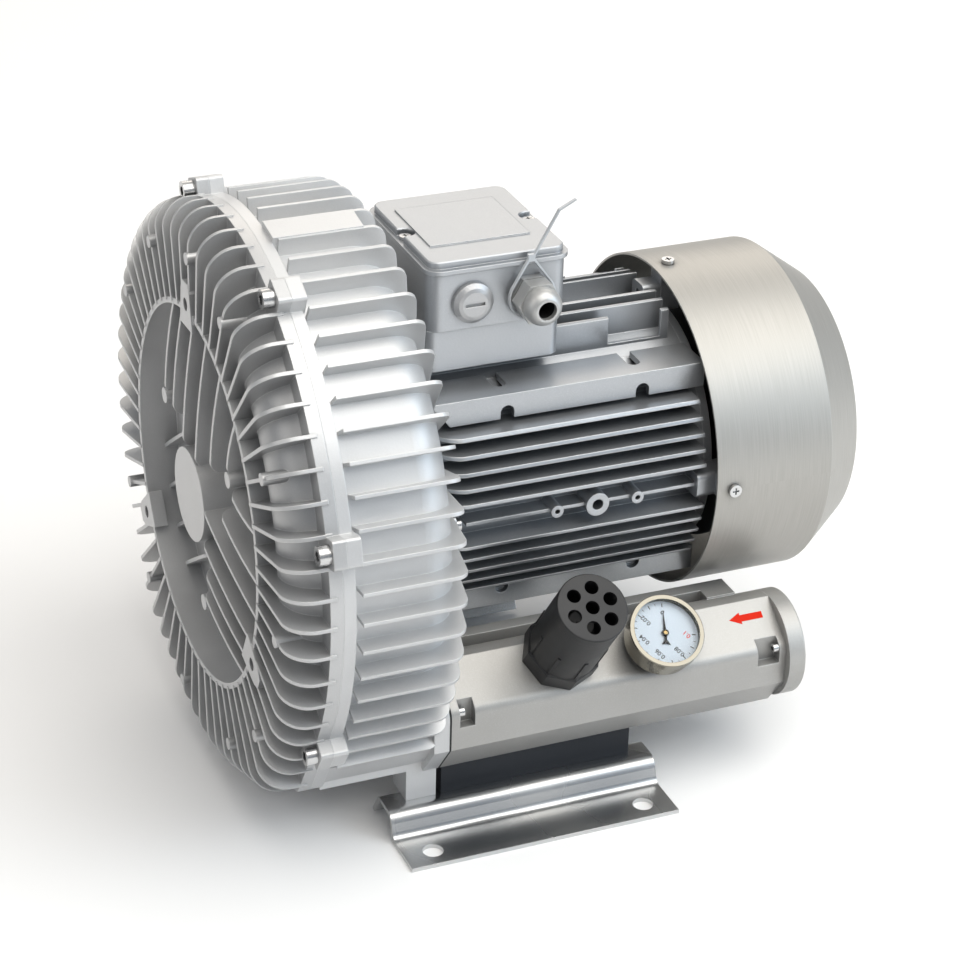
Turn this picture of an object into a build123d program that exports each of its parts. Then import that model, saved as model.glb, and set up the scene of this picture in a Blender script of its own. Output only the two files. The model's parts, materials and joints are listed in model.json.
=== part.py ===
from build123d import *
from math import acos, cos, degrees, radians, sin, sqrt, tan
import os

# Side channel blower, millimetres.
# The origin is on the ground, in the middle of the four foot holes. +X runs along the shaft,
# from the finned blower housing to the motor's fan cowl, and +Z is up.
# Places that end in _X are counted along the shaft from the seam between the housing halves,
# and heights that end in _Z are counted from the shaft.

# Place of the shaft
SHAFT_HEIGHT = 214.5
SEAM_X = -155.5

# Blower housing
FLANGE_R = 200.0
FRONT_FLANGE = 9.0
REAR_FLANGE = 8.3
CORNER_R = 212.5
CORNER_ANGLE = 230.5
WALL = 4.0
CHANNEL_R = 158.0
CHANNEL_SECTION_R = 24.0
CHAMBER_R = 184.0
CHAMBER_DEPTH = 56.0
RUNNING_GAP = 1.0
SEAL_R = 191.0
SEAL_SIZE = 3.0

# Cooling fins of the housing
FIN_PITCH = 6
FIN_THICKNESS = 2.6
FRONT_FIN_DEPTH = 36.0
FRONT_FIN_R = 201.0
FRONT_FIN_ROUND = 20.0
REAR_FIN_R = 203.0
REAR_FIN_START = 12.0
REAR_FIN_END = 84.0
REAR_FIN_ROUND = 11.0
TOP_BLOCK_ANGLE = 96.0
TOP_BLOCK_LENGTH = 62.0

# Dish in the front cover
RIM_R = 135.0
RIM_DEPTH = 35.2
DISH_FLOOR = 8.0
HUB_R = 33.0
HUB_DEPTH = 39.2
HUB_POCKET_R = 28.0

# Ribs in the dish: how far each family leans, and for each rib where it crosses and where it ends
DISH_RIB_THICKNESS = 2.6
DISH_RIB_DEPTH = 39.0
DISH_RIB_ROUND = 9.0
UPRIGHT_RIB_ANGLE = 280.8
UPRIGHT_RIBS = ((49.5, 51), (30, 44), (6, 30), (-22, 27), (-53, 40), (-86.5, 55))
SLANTED_RIB_ANGLE = 196.0
SLANTED_RIBS = ((44, -88), (11, -66), (-17, -28), (-45, -24), (-65, -28), (-84, -25))
LOW_RIB_ANGLE = 147.0
LOW_RIB_DEPTH = 24.0
LOW_RIB_STARTS = ((-13, 134), (-26, 100), (-38.6, 100), (-51, 82))
DISH_PIN_R = 5.5
DISH_PINS = ((54, 50), (-85.5, 54), (-27, -70))

# Eyes on the dish's rim
EYE_ANGLES = (87.5, 207.5, 327.5)
EYE_HOLE_CIRCLE_R = 139.0
EYE_HOLE_R = 4.5
EYE_TIP_R = 155.0
EYE_ROOT_R = 123.0
EYE_THICKNESS = 10.0

# Round studs on the fins
STUD_ANGLES = (30, 60, 90, 114, 150, 186, 222, 246, 282, 312, 336)
STUD_CIRCLE_R = 174.0
STUD_R = 4.2

# Rear housing
BARREL_R = 190.0
BARREL_LENGTH = 85.0
BARREL_ROUND = 25.0
BACK_X = 93.0
MOTOR_FACE_X = 99.0
MOTOR_RING_R = 112.0
BEARING_HUB_R = 46.0
LEG_START_X = 71.0
LEG_Y = 130.0
LEG_DEPTH = 24.0

# Screws that hold the housing halves together
LUG_ANGLES = (21.0, 69.0, 117.0, 165.0, 213.0, 255.0, 291.0, 333.0)
LUG_WIDTH = 20.0
LUG_R = 212.0
LUG_SCREW_CIRCLE_R = 204.0
LUG_SCREW_R = 4.0
REAR_LUG_DEPTH = 10.0

# Silencers: y is counted outwards from the shaft
TUBE_Y = 122.0
TUBE_Z = -129.0
TUBE_R = 38.0
TUBE_SIDE_Y = 153.0
TUBE_SIDE_Z = -144.0
TUBE_BOTTOM_Y = 133.0
TUBE_BOTTOM_Z = -170.0
TUBE_EDGE_ROUND = 10.0
SLOPE_ANGLE = 37.5
SLOPE_OFFSET = 1.7
TUBE_START_X = 94.5
TUBE_END_X = 348.0
BORE_Y = 119.0
BORE_Z = -131.5
BORE_R = 25.0
PORT_LENGTH = 13.0
PORT_THREAD = 11.0
PORT_BORE_R = 28.4
PORT_PASSAGE_R = 21.0
PORT_SPIGOT = 10.0
CHANNEL_PORT_R = 16.0
CHANNEL_PORT_CIRCLE_R = 161.0
CHANNEL_PORT_SIDE = 43.5
FOAM = 5.0
FIT = 0.1
TUBE_SCREW_Y = 148.5
TUBE_SCREW_Z = -117.0
TUBE_SCREW_R = 2.0
POCKET_Y = 145.0
POCKET_LOW_Z = -127.0
POCKET_LENGTH = 17.0
SADDLE_Y = 90.0
SADDLE_Z = -93.0
SKIRT_Y = 129.5
SKIRT_DEPTH = 16.0
SKIRT_START_X = 97.0
SKIRT_END_X = 240.0

# Foot rails
RAIL_START_X = 55.5
RAIL_LENGTH = 200.0
RAIL_SHEET = 3.0
RAIL_HEIGHT = 20.5
RAIL_EDGE_Y = 183.0
FOOT_HOLE_R = 7.25
FOOT_HOLE_PITCH = 158.3
FOOT_HOLE_Y = 168.0
FOOT_BOLT_Y = 125.0
FOOT_BOLT_R = 3.0
FOOT_BOLTS_X = (82.0, 150.0, 226.0)
FOOT_BOLT_DEPTH = 14.0

# Motor frame
FRAME_BORE_R = 84.0
FRAME_R = 90.0
FRAME_END_X = 306.0
MOTOR_FIN_R = 110.0
MOTOR_FIN_THICKNESS = 2.4
SIDE_FIN_LEVELS = (16.0, 26.5, 37.0, 47.5, 58.0)
TOP_FIN_LEVELS = (16.0, 26.5, 37.0)
MOTOR_FIN_START_X = 104.0
MOTOR_FIN_END_X = 298.0
PAD_CORNER = 81.0
PAD_WIDTH = 33.0
PAD_HEIGHT = 18.0
PAD_SHEET = 4.5
PAD_SLOTS_X = (159.5, 259.5)
PAD_SLOT_R = 5.0
PAD_SLOT_EDGE = 12.5
PAD_FRONT_SLOT_EDGE = 8.5
PAD_END_CHAMFER = 15.0
TOP_FIN_DIPS = ((148.0, 190.0), (252.0, 292.0))
MOTOR_SCREW_R = 3.0
MOTOR_SCREW_CIRCLE_R = 101.0
MOTOR_LUG = 14.0

# Shaft line
IMPELLER_SHAFT_R = 14.0
IMPELLER_SHAFT_X = 8.0
FRONT_BEARING_BORE_R = 17.5
FRONT_BEARING_R = 36.0
FRONT_BEARING_WIDTH = 17.0
FRONT_BEARING_X = 75.0
REAR_BEARING_BORE_R = 15.0
REAR_BEARING_R = 31.0
REAR_BEARING_WIDTH = 16.0
REAR_BEARING_X = 294.0
SEAL_BORE_R = 24.0
SEAL_LENGTH = 9.0
CORE_START_X = 135.0
CORE_LENGTH = 130.0
CORE_SHAFT_R = 21.0
ROTOR_R = 51.5
AIR_GAP = 0.5
SLOT_COUNT = 24
FAN_SHAFT_R = 12.0
FAN_X = 330.0
FAN_R = 104.0
FAN_DEPTH = 40.0
FAN_BLADES = 8

# Impeller
IMPELLER_BLADES = 40
IMPELLER_HUB_R = 30.0
IMPELLER_WEB = 6.0
BLADE_THICKNESS = 2.4
KEY_WIDTH = 8.0
KEY_LENGTH = 36.0
KEY_START_X = 12.0

# Fan cowl
COWL_START_X = 301.7
COWL_CONE_X = 390.4
COWL_END_X = 423.4
COWL_R = 120.3
COWL_END_R = 96.5
COWL_SHEET = 1.5
COWL_SCREW_X = 314.6
COWL_SCREW_R = 2.0
SHIELD_THICKNESS = 15.0
GRILLE_PITCH = 9.0
QUARTERS = (0, 90, 180, 270)

# Terminal box
BOX_START_X = 111.0
BOX_LENGTH = 100.0
BOX_WIDTH = 114.0
BOX_LOW_Z = 121.8
BOX_HIGH_Z = 162.5
BOX_WALL = 4.0
BOX_CORNER = 10.0
COVER_LENGTH = 103.5
COVER_WIDTH = 119.5
COVER_LIP = 3.0
COVER_BODY = 5.0
COVER_PANEL = 1.0
COVER_NOTCH_R = 6.5
COVER_POST_R = 4.5
COVER_GASKET = 1.2
COVER_SCREW_R = 2.0
PEDESTAL_WIDTH = 110.0
PEDESTAL_LOW_Z = 92.0
CABLE_X = 160.0
PLUG_X = 141.7
GLAND_X = 183.0
ENTRY_Z = 141.0
ENTRY_R = 12.5
PLUG_R = 14.3
GLAND_FLATS = 27.0
GLAND_LENGTH = 31.0
GLAND_BORE_R = 6.5
TIE_HEAD_HEIGHT = 28.0

# Relief valve, on the slope of the near silencer
VALVE_X = 181.5
VALVE_Y = 131.0
VALVE_HEIGHT = 82.0
VALVE_R = 24.6
VALVE_WALL = 3.5
VALVE_NUT_FLATS = 50.0
VALVE_NUT_HEIGHT = 16.0
VALVE_NIPPLE_R = 14.0
VALVE_NIPPLE = 12.0
VALVE_SEAT_R = 9.5
VALVE_STEM_R = 3.0
VALVE_TRAVEL = 6.0
VALVE_HOLE_R = 4.8
VALVE_HOLE_CIRCLE_R = 14.5
SPRING_R = 7.0
SPRING_WIRE_R = 0.9
SPRING_TURNS = 5
KEEPER_HEIGHT = 52.0

# Vacuum gauge, on the same slope
GAUGE_X = 252.5
GAUGE_Y = 137.0
GAUGE_HEIGHT = 27.0
GAUGE_R = 25.6
GAUGE_BACK = 8.0
GAUGE_STEM_R = 5.0
BEZEL_WALL = 1.4
BEZEL_DEPTH = 6.0
DIAL_DEPTH = 6.5
POINTER_LENGTH = 17.0
POINTER_ZERO = 76.8


AXIAL = Plane(origin=(SEAM_X, 0, SHAFT_HEIGHT), x_dir=(1, 0, 0), z_dir=(0, -1, 0))
SHAFT = Axis((SEAM_X, 0, SHAFT_HEIGHT), (1, 0, 0))


def across(x):
    """Plane across the shaft: sketch x is world Y, sketch y is height over the shaft."""
    return Plane(origin=(SEAM_X + x, 0, SHAFT_HEIGHT), x_dir=(0, 1, 0), z_dir=(1, 0, 0))


def level(z):
    """Horizontal plane at a height over the shaft: sketch x is counted from the seam."""
    return Plane(origin=(SEAM_X, 0, SHAFT_HEIGHT + z))


def slope_seat(x, y):
    """Plane on the slope of the near silencer: its own y runs up the slope."""
    slope = radians(SLOPE_ANGLE)
    height = SHAFT_HEIGHT + (SLOPE_OFFSET - y * sin(slope)) / cos(slope)
    return Plane(origin=(SEAM_X + x, -y, height), x_dir=(1, 0, 0), z_dir=(0, -sin(slope), cos(slope)))


def entry_seat(x):
    """Plane on the near wall of the terminal box, looking out of it."""
    place = (SEAM_X + x, -BOX_WIDTH / 2, SHAFT_HEIGHT + ENTRY_Z)
    return Plane(origin=place, x_dir=(1, 0, 0), z_dir=(0, -1, 0))


def side_of(seat):
    """Plane through a seat's axis: sketch x is the radius, sketch y the height over the seat."""
    return Plane(origin=seat.origin, x_dir=seat.x_dir, z_dir=-seat.y_dir)


def axis_of(seat):
    return Axis(seat.origin, seat.z_dir)


def polar(radius, angle):
    return (radius * cos(radians(angle)), radius * sin(radians(angle)))


def section(plane, low_x, high_x, low_y, high_y):
    """Rectangle on a plane, as the section of a turned ring."""
    with BuildSketch(plane) as sketch:
        with Locations(((low_x + high_x) / 2, (low_y + high_y) / 2)):
            Rectangle(high_x - low_x, high_y - low_y)
    return sketch.sketch


def ring(start, end, inner, outer, mode=Mode.ADD):
    """Turned ring about the shaft, in the current part."""
    revolve(section(AXIAL, start, end, inner, outer), axis=SHAFT, mode=mode)


def seat_ring(seat, inner, outer, low, high, mode=Mode.ADD):
    """Turned ring about a seat's axis, in the current part."""
    revolve(section(side_of(seat), inner, outer, low, high), axis=axis_of(seat), mode=mode)


def disc(plane, x, y, radius):
    """Round sketch on a plane."""
    with BuildSketch(plane) as sketch:
        with Locations((x, y)):
            Circle(radius)
    return sketch.sketch


def cowl_seat(angle):
    """Plane on the outside of the cowl under one of its screws."""
    y, z = polar(COWL_R, angle)
    return Plane(origin=(SEAM_X + COWL_SCREW_X, y, SHAFT_HEIGHT + z), x_dir=(1, 0, 0), z_dir=(0, y, z))


def lug_places(radius, angles):
    """Places in a sketch across the shaft whose own x points outwards."""
    return [Location((*polar(radius, angle), 0), (0, 0, angle)) for angle in angles]


def screws(places, shank_r, head_r, head, length):
    """Screws along the shaft: each place is the point under the head and 1 or -1 for its way in."""
    with BuildPart() as group:
        for x, y, z, way in places:
            seat = Plane(origin=(SEAM_X + x, y, SHAFT_HEIGHT + z), x_dir=(0, 1, 0), z_dir=(way, 0, 0))
            with BuildSketch(seat):
                Circle(shank_r)
            extrude(amount=length)
            with BuildSketch(seat):
                Circle(head_r)
            extrude(amount=-head)
            with BuildSketch(seat.offset(-head)):
                RegularPolygon(head_r * 0.55, 6)
            extrude(amount=head * 0.5, mode=Mode.SUBTRACT)
    return group.part


# Front half of the housing
corner_half = degrees(acos(FLANGE_R / CORNER_R))
corner_start = CORNER_ANGLE - corner_half
corner_end = CORNER_ANGLE + corner_half


def outline_gain(angle):
    """How much further than the flange's circle the housing reaches at an angle."""
    turned = 540 - angle if angle > 270 else angle
    if turned <= corner_start or turned >= corner_end:
        return 1.0
    nearest = corner_start if turned <= CORNER_ANGLE else corner_end
    return 1 / cos(radians(turned - nearest))


bulge_r = CHANNEL_SECTION_R + WALL
bulge_at_rim = sqrt(bulge_r ** 2 - (CHANNEL_R - RIM_R) ** 2)
bulge_at_flange = CHANNEL_R + sqrt(bulge_r ** 2 - FRONT_FLANGE ** 2)
land_r = CHANNEL_R - CHANNEL_SECTION_R
channel_top_r = CHANNEL_R + CHANNEL_SECTION_R


def front_fin(gain):
    """One plate, from the rim of the dish over the bulge of the channel to the flange."""
    reach = FRONT_FIN_R * gain
    with BuildPart() as fin:
        with BuildSketch(AXIAL) as sketch:
            with BuildLine():
                Polyline((-FRONT_FIN_DEPTH, RIM_R - WALL / 2), (-FRONT_FIN_DEPTH, reach),
                         (-FRONT_FLANGE / 2, reach), (-FRONT_FLANGE / 2, RIM_R - WALL / 2), close=True)
            make_face()
            fillet(sketch.vertices().group_by(Axis.X)[0].sort_by(Axis.Y)[-1], FRONT_FIN_ROUND)
            with Locations((0, CHANNEL_R)):
                Circle(CHANNEL_SECTION_R + WALL / 2, mode=Mode.SUBTRACT)
        extrude(amount=FIN_THICKNESS / 2, both=True)
    return fin.part


def dish_rib(start, turn, length, depth, lift):
    """Plate on the dish's floor from a start point, running at an angle; its edge lifts in the middle."""
    heading = (0, cos(radians(turn)), sin(radians(turn)))
    base = Plane(origin=(SEAM_X, start[0], SHAFT_HEIGHT + start[1]), x_dir=heading,
                 z_dir=(0, -heading[2], heading[1]))
    with BuildPart() as rib:
        with BuildSketch(base) as sketch:
            with BuildLine():
                Polyline((0, depth - lift), (0, DISH_FLOOR - 1), (length, DISH_FLOOR - 1),
                         (length, depth - DISH_RIB_ROUND))
                RadiusArc((length, depth - DISH_RIB_ROUND), (length - DISH_RIB_ROUND, depth), -DISH_RIB_ROUND)
                ThreePointArc((length - DISH_RIB_ROUND, depth), (length * 0.4, depth - lift * 0.25),
                              (0, depth - lift))
            make_face()
        extrude(amount=DISH_RIB_THICKNESS / 2, both=True)
    return rib.part


def dish_ribs():
    """All plates in the dish. Each runs from the wall or from its low end, in one of three directions."""
    wall = RIM_R - WALL / 2
    plates = []
    for crossing, end in UPRIGHT_RIBS:
        lean = 1 / tan(radians(UPRIGHT_RIB_ANGLE))
        foot = (crossing + (end - 70) * lean, end)
        plates.append((foot, UPRIGHT_RIB_ANGLE - 180))
    for crossing, end in SLANTED_RIBS:
        lean = tan(radians(SLANTED_RIB_ANGLE))
        plates.append(((end, crossing + (end + 100) * lean), SLANTED_RIB_ANGLE))
    made = []
    for foot, way in plates:
        out = (cos(radians(way)), sin(radians(way)))
        along = foot[0] * out[0] + foot[1] * out[1]
        reach = -along + sqrt(along ** 2 + wall ** 2 - foot[0] ** 2 - foot[1] ** 2)
        start = (foot[0] + reach * out[0], foot[1] + reach * out[1])
        made.append(dish_rib(start, way + 180, reach, DISH_RIB_DEPTH, DISH_RIB_DEPTH - RIM_DEPTH))
    for angle, length in LOW_RIB_STARTS:
        made.append(dish_rib(polar(wall, angle), LOW_RIB_ANGLE, length, LOW_RIB_DEPTH, 6))
    return made


fin_angles = range(0, 360, FIN_PITCH)
front_fins = {gain: front_fin(gain) for gain in {round(outline_gain(a), 4) for a in fin_angles}}

with BuildPart() as front_cover:
    with BuildSketch(AXIAL):
        with BuildLine():
            Polyline((-HUB_DEPTH, 0), (-HUB_DEPTH, HUB_R), (-DISH_FLOOR, HUB_R),
                     (-DISH_FLOOR, RIM_R - WALL), (-RIM_DEPTH, RIM_R - WALL), (-RIM_DEPTH, RIM_R),
                     (-bulge_at_rim, RIM_R))
            ThreePointArc((-bulge_at_rim, RIM_R), (-bulge_r, CHANNEL_R), (-FRONT_FLANGE, bulge_at_flange))
            Polyline((-FRONT_FLANGE, bulge_at_flange), (-FRONT_FLANGE, FLANGE_R), (0, FLANGE_R),
                     (0, channel_top_r))
            ThreePointArc((0, channel_top_r), (-CHANNEL_SECTION_R, CHANNEL_R), (0, land_r))
            Polyline((0, land_r), (0, land_r - 12), (-DISH_FLOOR + WALL, land_r - 12),
                     (-DISH_FLOOR + WALL, HUB_POCKET_R), (-HUB_DEPTH + WALL, HUB_POCKET_R),
                     (-HUB_DEPTH + WALL, 0), (-HUB_DEPTH, 0))
        make_face()
    revolve(axis=SHAFT)
    add([front_fins[round(outline_gain(a), 4)].rotate(SHAFT, a - 90) for a in fin_angles])
    with BuildSketch(across(-FRONT_FLANGE)):
        with BuildLine():
            Polyline(polar(FLANGE_R, corner_start), polar(CORNER_R, CORNER_ANGLE),
                     polar(FLANGE_R, corner_end), polar(SEAL_R, CORNER_ANGLE), close=True)
        make_face()
        mirror(about=Plane.YZ)
        with Locations(lug_places((SEAL_R + LUG_R) / 2, LUG_ANGLES)):
            RectangleRounded(LUG_R - SEAL_R, LUG_WIDTH, 2.5)
    extrude(amount=FRONT_FLANGE)
    with BuildSketch(across(-FRONT_FLANGE)):
        with Locations(lug_places(LUG_SCREW_CIRCLE_R, LUG_ANGLES)):
            Circle(LUG_SCREW_R + 0.4)
    extrude(amount=FRONT_FLANGE, mode=Mode.SUBTRACT)
    add(dish_ribs())
    with BuildSketch(across(-DISH_RIB_DEPTH)):
        with Locations(DISH_PINS):
            Circle(DISH_PIN_R)
    extrude(amount=DISH_RIB_DEPTH - DISH_FLOOR)
    with BuildSketch(across(-FRONT_FIN_DEPTH - 1.5)):
        with Locations(lug_places(STUD_CIRCLE_R, STUD_ANGLES)):
            Circle(STUD_R)
    extrude(amount=FRONT_FIN_DEPTH - 8)
    with BuildSketch(across(-RIM_DEPTH - 1.5)):
        with Locations(lug_places(0, EYE_ANGLES)):
            Polygon((EYE_ROOT_R, -13), (EYE_ROOT_R, 13), (EYE_TIP_R - 6, 9), (EYE_TIP_R, 5), (EYE_TIP_R, -5),
                    (EYE_TIP_R - 6, -9), align=None)
    extrude(amount=EYE_THICKNESS)
    with BuildSketch(across(-RIM_DEPTH - 1.5)):
        with Locations(lug_places(EYE_HOLE_CIRCLE_R, EYE_ANGLES)):
            Circle(EYE_HOLE_R)
    extrude(amount=EYE_THICKNESS, mode=Mode.SUBTRACT)
front_cover.part.label = "front_cover"


# Rear half of the housing
def tube_outline():
    """Section of a silencer on the near side, for a sketch across the shaft."""
    slope = radians(SLOPE_ANGLE)
    top_y, top_z = polar_from(TUBE_R, 89)
    side_z = (SLOPE_OFFSET - TUBE_SIDE_Y * sin(slope)) / cos(slope)
    corner = TUBE_EDGE_ROUND * tan(radians(45 - SLOPE_ANGLE / 2))
    on_slope = (-TUBE_SIDE_Y + corner * cos(slope), side_z + corner * sin(slope))
    on_side = (-TUBE_SIDE_Y, side_z - corner)
    bulge = TUBE_EDGE_ROUND * (1 / cos(radians(45 - SLOPE_ANGLE / 2)) - 1)
    middle = (90 - SLOPE_ANGLE) / 2
    corner_mid = (-TUBE_SIDE_Y + bulge * cos(radians(middle)), side_z - bulge * sin(radians(middle)))
    with BuildSketch() as sketch:
        with BuildLine():
            ThreePointArc((top_y, top_z), polar_from(TUBE_R, 0), polar_from(TUBE_R, -90))
            Polyline(polar_from(TUBE_R, -90), (-TUBE_BOTTOM_Y, TUBE_BOTTOM_Z),
                     (-TUBE_SIDE_Y, TUBE_SIDE_Z), on_side)
            ThreePointArc(on_side, corner_mid, on_slope)
            Line(on_slope, (top_y, top_z))
        make_face()
    return sketch.sketch


def polar_from(radius, angle):
    """Point on a circle about the silencer's middle."""
    return (-TUBE_Y + radius * cos(radians(angle)), TUBE_Z + radius * sin(radians(angle)))


def rear_fin(gain, behind):
    """One plate along the barrel; behind says whether it runs on to the motor's ring."""
    reach = REAR_FIN_R * gain
    back = [(MOTOR_FACE_X - 1, land_r), (MOTOR_FACE_X - 1, MOTOR_RING_R - 3),
            (BARREL_LENGTH - 16, MOTOR_RING_R - 3), (BARREL_LENGTH - 16, land_r - 15)]
    low = [(BARREL_LENGTH - 2, land_r + 4), (BARREL_LENGTH - 2, CHANNEL_R + 8),
           (BARREL_LENGTH - BARREL_ROUND + 2, BARREL_R - 2)]
    end = REAR_FIN_END if behind else REAR_FIN_END + 4
    if not behind:
        back = [(end, CHANNEL_R)]
        low = low[1:]
    with BuildPart() as fin:
        with BuildSketch(AXIAL) as sketch:
            with BuildLine():
                Polyline((REAR_FIN_START, BARREL_R - 2), (REAR_FIN_START, reach), (end, reach), *back, *low,
                         close=True)
            make_face()
            fillet(sketch.vertices().group_by(Axis.Y)[-1].sort_by(Axis.X)[-1], REAR_FIN_ROUND)
        extrude(amount=FIN_THICKNESS / 2, both=True)
    return fin.part


def fin_kind(angle):
    """Reach of a rear fin and whether it runs on behind, or None inside the lower corner."""
    turned = 540 - angle if angle > 270 else angle
    if CORNER_ANGLE - 4 < turned < CORNER_ANGLE + 20:
        return None
    return (round(outline_gain(angle), 4), not corner_start < turned < CORNER_ANGLE)


corner_block = [polar(REAR_FIN_R + 2, CORNER_ANGLE - 7), (-136, -160), (-LEG_Y, -164),
                (-LEG_Y, TUBE_BOTTOM_Z), (-100, -172), (-60, -180), (-50, -150), (-120, -115)]
rear_fins = {kind: rear_fin(*kind) for kind in {fin_kind(a) for a in fin_angles} if kind}

rail_top_z = RAIL_HEIGHT - SHAFT_HEIGHT

with BuildPart() as rear_housing:
    with BuildSketch(AXIAL):
        with BuildLine():
            Polyline((0, SEAL_R + SEAL_SIZE / 2), (0, FLANGE_R), (REAR_FLANGE, FLANGE_R),
                     (REAR_FLANGE, BARREL_R), (BARREL_LENGTH - BARREL_ROUND, BARREL_R))
            RadiusArc((BARREL_LENGTH - BARREL_ROUND, BARREL_R),
                      (BARREL_LENGTH, BARREL_R - BARREL_ROUND), BARREL_ROUND)
            Polyline((BARREL_LENGTH, BARREL_R - BARREL_ROUND), (BARREL_LENGTH, land_r + 2),
                     (BARREL_LENGTH - 13, land_r - 10), (BARREL_LENGTH - 13, MOTOR_RING_R),
                     (MOTOR_FACE_X, MOTOR_RING_R), (MOTOR_FACE_X, FRAME_BORE_R),
                     (CHAMBER_DEPTH + 8, FRAME_BORE_R), (CHAMBER_DEPTH + 8, BEARING_HUB_R),
                     (FRONT_BEARING_X + FRONT_BEARING_WIDTH + 3, BEARING_HUB_R),
                     (FRONT_BEARING_X + FRONT_BEARING_WIDTH + 3, FRONT_BEARING_R),
                     (FRONT_BEARING_X, FRONT_BEARING_R), (FRONT_BEARING_X, SEAL_BORE_R - 4),
                     (CHAMBER_DEPTH + SEAL_LENGTH + 1, SEAL_BORE_R - 4),
                     (CHAMBER_DEPTH + SEAL_LENGTH + 1, SEAL_BORE_R), (CHAMBER_DEPTH, SEAL_BORE_R),
                     (CHAMBER_DEPTH, land_r))
            ThreePointArc((CHAMBER_DEPTH, land_r), (CHAMBER_DEPTH + CHANNEL_SECTION_R, CHANNEL_R),
                          (CHAMBER_DEPTH, channel_top_r))
            Polyline((CHAMBER_DEPTH, channel_top_r), (CHAMBER_DEPTH, CHAMBER_R), (0, CHAMBER_R),
                     (0, SEAL_R - SEAL_SIZE / 2), (SEAL_SIZE, SEAL_R - SEAL_SIZE / 2),
                     (SEAL_SIZE, SEAL_R + SEAL_SIZE / 2), (0, SEAL_R + SEAL_SIZE / 2))
        make_face()
    revolve(axis=SHAFT)
    add([rear_fins[fin_kind(a)].rotate(SHAFT, a - 90) for a in fin_angles if fin_kind(a)])
    with BuildSketch(across(0)):
        with BuildLine():
            Polyline(polar(FLANGE_R, corner_start), polar(CORNER_R, CORNER_ANGLE),
                     polar(FLANGE_R, corner_end), polar(SEAL_R + SEAL_SIZE, CORNER_ANGLE), close=True)
        make_face()
        mirror(about=Plane.YZ)
    extrude(amount=REAR_FLANGE)
    with BuildSketch(across(0)):
        with Locations(lug_places((SEAL_R + SEAL_SIZE + LUG_R) / 2, LUG_ANGLES)):
            RectangleRounded(LUG_R - SEAL_R - SEAL_SIZE, LUG_WIDTH, 2.5)
    extrude(amount=REAR_LUG_DEPTH)
    with BuildSketch(across(REAR_FLANGE)):
        with BuildLine():
            Polyline(*[polar(r, a) for r, a in ((BARREL_R - 2, TOP_BLOCK_ANGLE), (REAR_FIN_R + 1, TOP_BLOCK_ANGLE),
                     (REAR_FIN_R + 1, TOP_BLOCK_ANGLE + FIN_PITCH), (BARREL_R - 2, TOP_BLOCK_ANGLE + FIN_PITCH))],
                     close=True)
        make_face()
    extrude(amount=TOP_BLOCK_LENGTH)
    with BuildSketch(across(REAR_FLANGE)):
        with BuildLine():
            Polyline(*corner_block, close=True)
        make_face()
        mirror(about=Plane.YZ)
        Circle(BARREL_R - WALL, mode=Mode.SUBTRACT)
    extrude(amount=BACK_X - REAR_FLANGE)
    with BuildSketch(across(BACK_X)):
        add(tube_outline())
        mirror(about=Plane.YZ)
    extrude(amount=BARREL_LENGTH - 3 - BACK_X)
    with BuildSketch(across(LEG_START_X)):
        with Locations((-LEG_Y + LEG_DEPTH / 2, (TUBE_BOTTOM_Z + 8 + rail_top_z) / 2)):
            Rectangle(LEG_DEPTH, TUBE_BOTTOM_Z + 8 - rail_top_z)
        mirror(about=Plane.YZ)
    extrude(amount=BACK_X - LEG_START_X)
    with BuildSketch(across(BACK_X)):
        for side in (-1, 1):
            with Locations(Location((*polar(CHANNEL_PORT_CIRCLE_R, 270 + side * CHANNEL_PORT_SIDE), 0))):
                Circle(CHANNEL_PORT_R)
            with Locations((side * TUBE_SCREW_Y, TUBE_SCREW_Z)):
                Circle(TUBE_SCREW_R)
    extrude(amount=-22, mode=Mode.SUBTRACT)
    with BuildSketch(across(0)):
        with Locations(lug_places(LUG_SCREW_CIRCLE_R, LUG_ANGLES)):
            Circle(LUG_SCREW_R)
    extrude(amount=REAR_LUG_DEPTH, mode=Mode.SUBTRACT)
    with BuildSketch(across(MOTOR_FACE_X)):
        with Locations(lug_places(MOTOR_SCREW_CIRCLE_R, QUARTERS)):
            Circle(MOTOR_SCREW_R)
    extrude(amount=-15, mode=Mode.SUBTRACT)
    with BuildSketch(level(rail_top_z)):
        with Locations((FOOT_BOLTS_X[0], -FOOT_BOLT_Y), (FOOT_BOLTS_X[0], FOOT_BOLT_Y)):
            Circle(FOOT_BOLT_R)
    extrude(amount=FOOT_BOLT_DEPTH, mode=Mode.SUBTRACT)
rear_housing.part.label = "rear_housing"

with BuildPart() as housing_seal:
    ring(0, SEAL_SIZE, SEAL_R - SEAL_SIZE / 2, SEAL_R + SEAL_SIZE / 2)
housing_seal.part.label = "housing_seal"

lug_points = [polar(LUG_SCREW_CIRCLE_R, angle) for angle in LUG_ANGLES]
casing_screws = screws([(-FRONT_FLANGE, *p, 1) for p in lug_points], LUG_SCREW_R, 6.5, 8,
                       FRONT_FLANGE + REAR_LUG_DEPTH)
casing_screws.label = "casing_screws"


# Silencers
port_y, port_z = polar(CHANNEL_PORT_CIRCLE_R, 270 - CHANNEL_PORT_SIDE)
valve_seat = slope_seat(VALVE_X, VALVE_Y)
gauge_seat = slope_seat(GAUGE_X, GAUGE_Y)


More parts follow.
